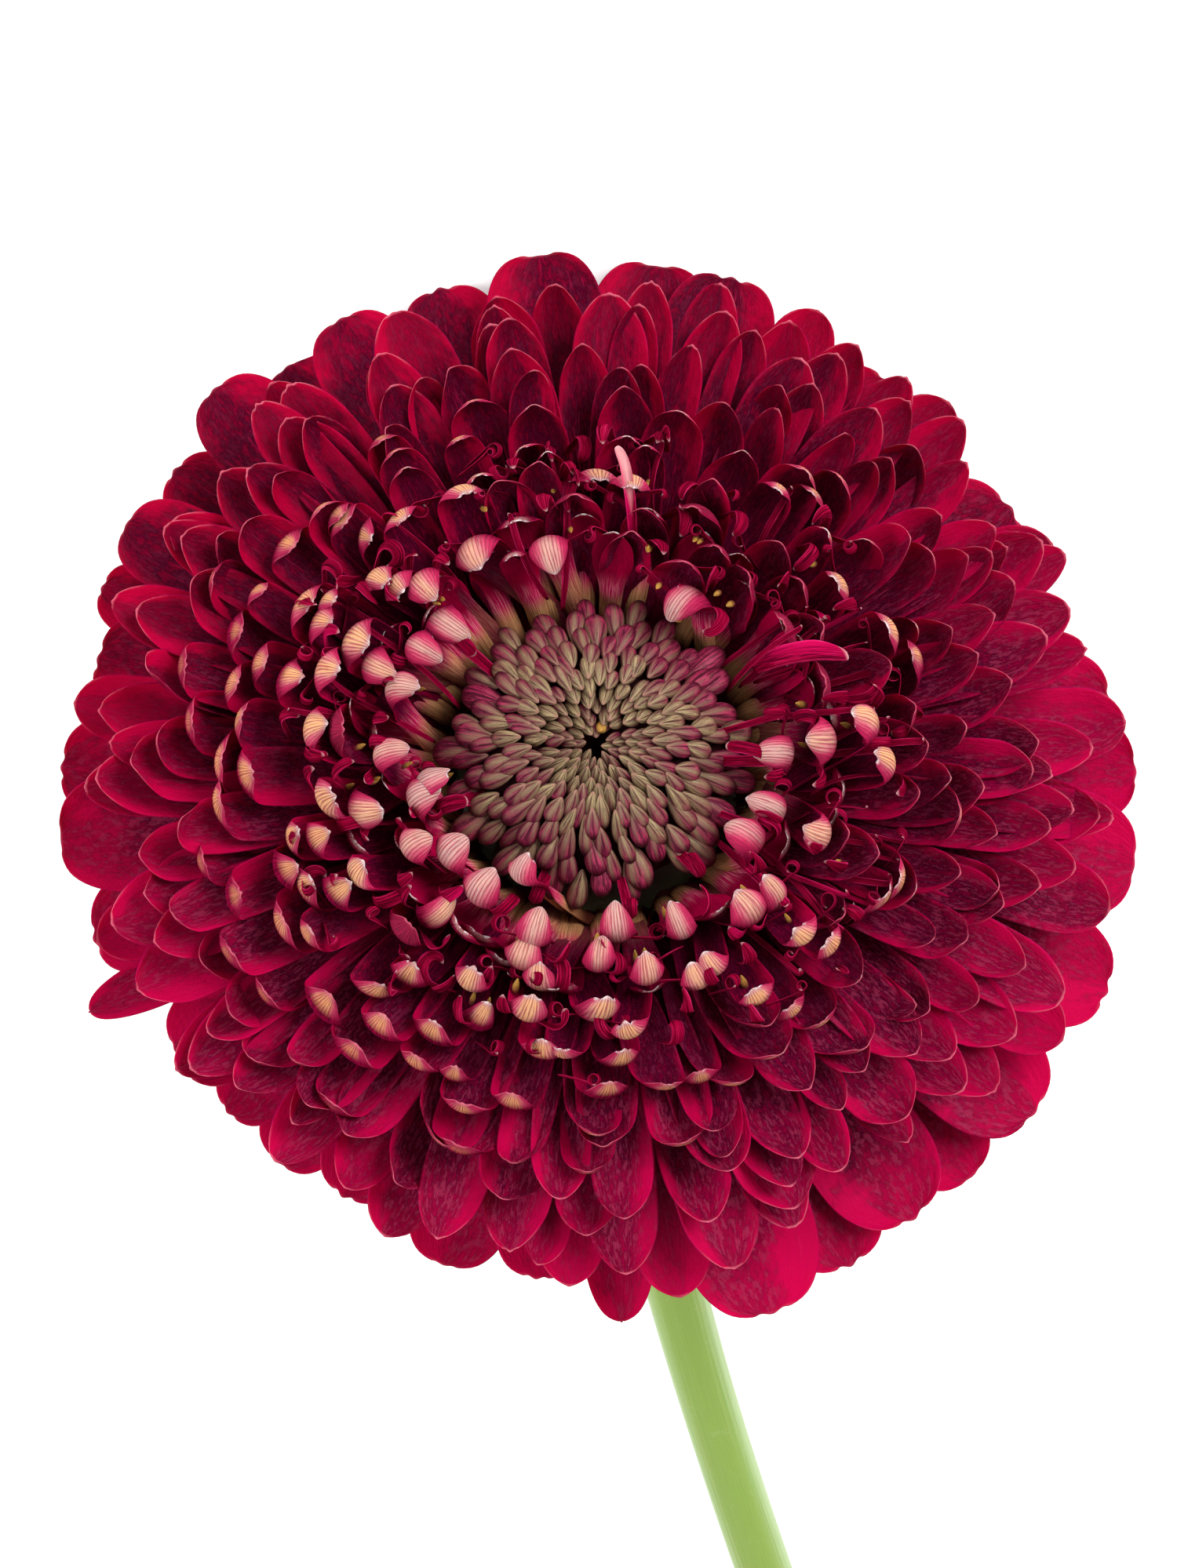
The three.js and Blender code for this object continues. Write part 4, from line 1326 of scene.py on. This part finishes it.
class AddStage(bpy.types.Operator):
    """Adds the table, the soft lights and the camera at the photograph's angle"""

    bl_idname = "gerbera.stage"
    bl_label = "Stage"

    def execute(self, context):
        stage = context.scene.gerbera_stage
        axes, centre = head_axes()
        up, normal = axes[:, 1], axes[:, 2]
        view = math.cos(stage.tilt) * normal - math.sin(stage.tilt) * up
        high = up - view * (up @ view)
        high /= np.linalg.norm(high)
        aside = np.cross(high, view)
        # The head's centre stands 10 pixels right of the picture's and 4.5 below it
        aim = centre / 1000 + (aside * -10 + high * 4.5) * stage.scale / 1000
        data = bpy.data.cameras.new("camera")
        data.lens = SENSOR * (stage.distance * 1000 / stage.scale) / PHOTO_HEIGHT
        data.clip_end = 20
        camera = self.placed("camera", data)
        turn = Matrix(np.stack([aside, high, view], 1).tolist()).to_4x4()
        camera.matrix_world = Matrix.Translation(aim + view * stage.distance) @ turn
        context.scene.camera = camera

        mesh = bpy.data.meshes.new("table")
        corners = [(-3, -3, 0), (3, -3, 0), (3, 3, 0), (-3, 3, 0)]
        mesh.from_pydata(corners, [], [(0, 1, 2, 3)])
        mesh.materials.append(table_finish())
        self.placed("table", mesh)

        for name, place, across, power in LIGHTS:
            data = bpy.data.lights.new(name, "AREA")
            data.size, data.energy = across, power
            lamp = self.placed(name, data)
            lamp.location = Vector(centre / 1000) + Vector(place)
            lamp.rotation_euler = (-Vector(place)).to_track_quat("-Z", "Y").to_euler()
        world = bpy.data.worlds.new("studio")
        world.use_nodes = True
        background = world.node_tree.nodes["Background"]
        background.inputs["Color"].default_value = (1, 1, 1, 1)
        background.inputs["Strength"].default_value = WORLD_STRENGTH
        context.scene.world = world
        context.scene.view_settings.view_transform = "Standard"
        return {"FINISHED"}

    def placed(self, name, data):
        """A new object in the scene."""
        made = bpy.data.objects.new(name, data)
        bpy.context.scene.collection.objects.link(made)
        return made


class GerberaPanel(bpy.types.Panel):
    """The flower's operators and sizes"""

    bl_idname = "VIEW3D_PT_gerbera"
    bl_label = "Pompon gerbera daisy"
    bl_space_type = "VIEW_3D"
    bl_region_type = "UI"
    bl_category = "Gerbera"

    def draw(self, context):
        """Draws a button for each operator, then each group's settings."""
        for operator in OPERATORS:
            self.layout.operator(operator.bl_idname)
        for name in GROUPS:
            box = self.layout.box()
            group = getattr(context.scene, name)
            for key in group.bl_rna.properties.keys():
                if key not in {"rna_type", "name"}:
                    box.prop(group, key)


GROUPS = {
    "gerbera_colours": GerberaColours,
    "gerbera_head": GerberaHead,
    "gerbera_outer_rays": GerberaOuterRays,
    "gerbera_disc": GerberaDisc,
    "gerbera_stalk": GerberaStalk,
    "gerbera_stage": GerberaStage,
}
OPERATORS = (AddOuterRays, AddFaceFlorets, AddLips, AddDisc, AddBracts, AddStalk, AddStage)


def register():
    """Registers the classes and gives every scene its settings."""
    for group in (*GROUPS.values(), *OPERATORS, GerberaPanel):
        bpy.utils.register_class(group)
    for name, group in GROUPS.items():
        setattr(bpy.types.Scene, name, bpy.props.PointerProperty(type=group))


def unregister():
    """Takes away what register adds."""
    for name in GROUPS:
        delattr(bpy.types.Scene, name)
    for group in (GerberaPanel, *OPERATORS, *GROUPS.values()):
        bpy.utils.unregister_class(group)


def main():
    """Builds the flower and its stage."""
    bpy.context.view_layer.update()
    register()
    bpy.ops.gerbera.outer_rays()
    bpy.ops.gerbera.face_florets()
    bpy.ops.gerbera.lips()
    bpy.ops.gerbera.disc()
    bpy.ops.gerbera.bracts()
    bpy.ops.gerbera.stalk()
    bpy.ops.gerbera.stage()


if __name__ == "__main__":
    main()
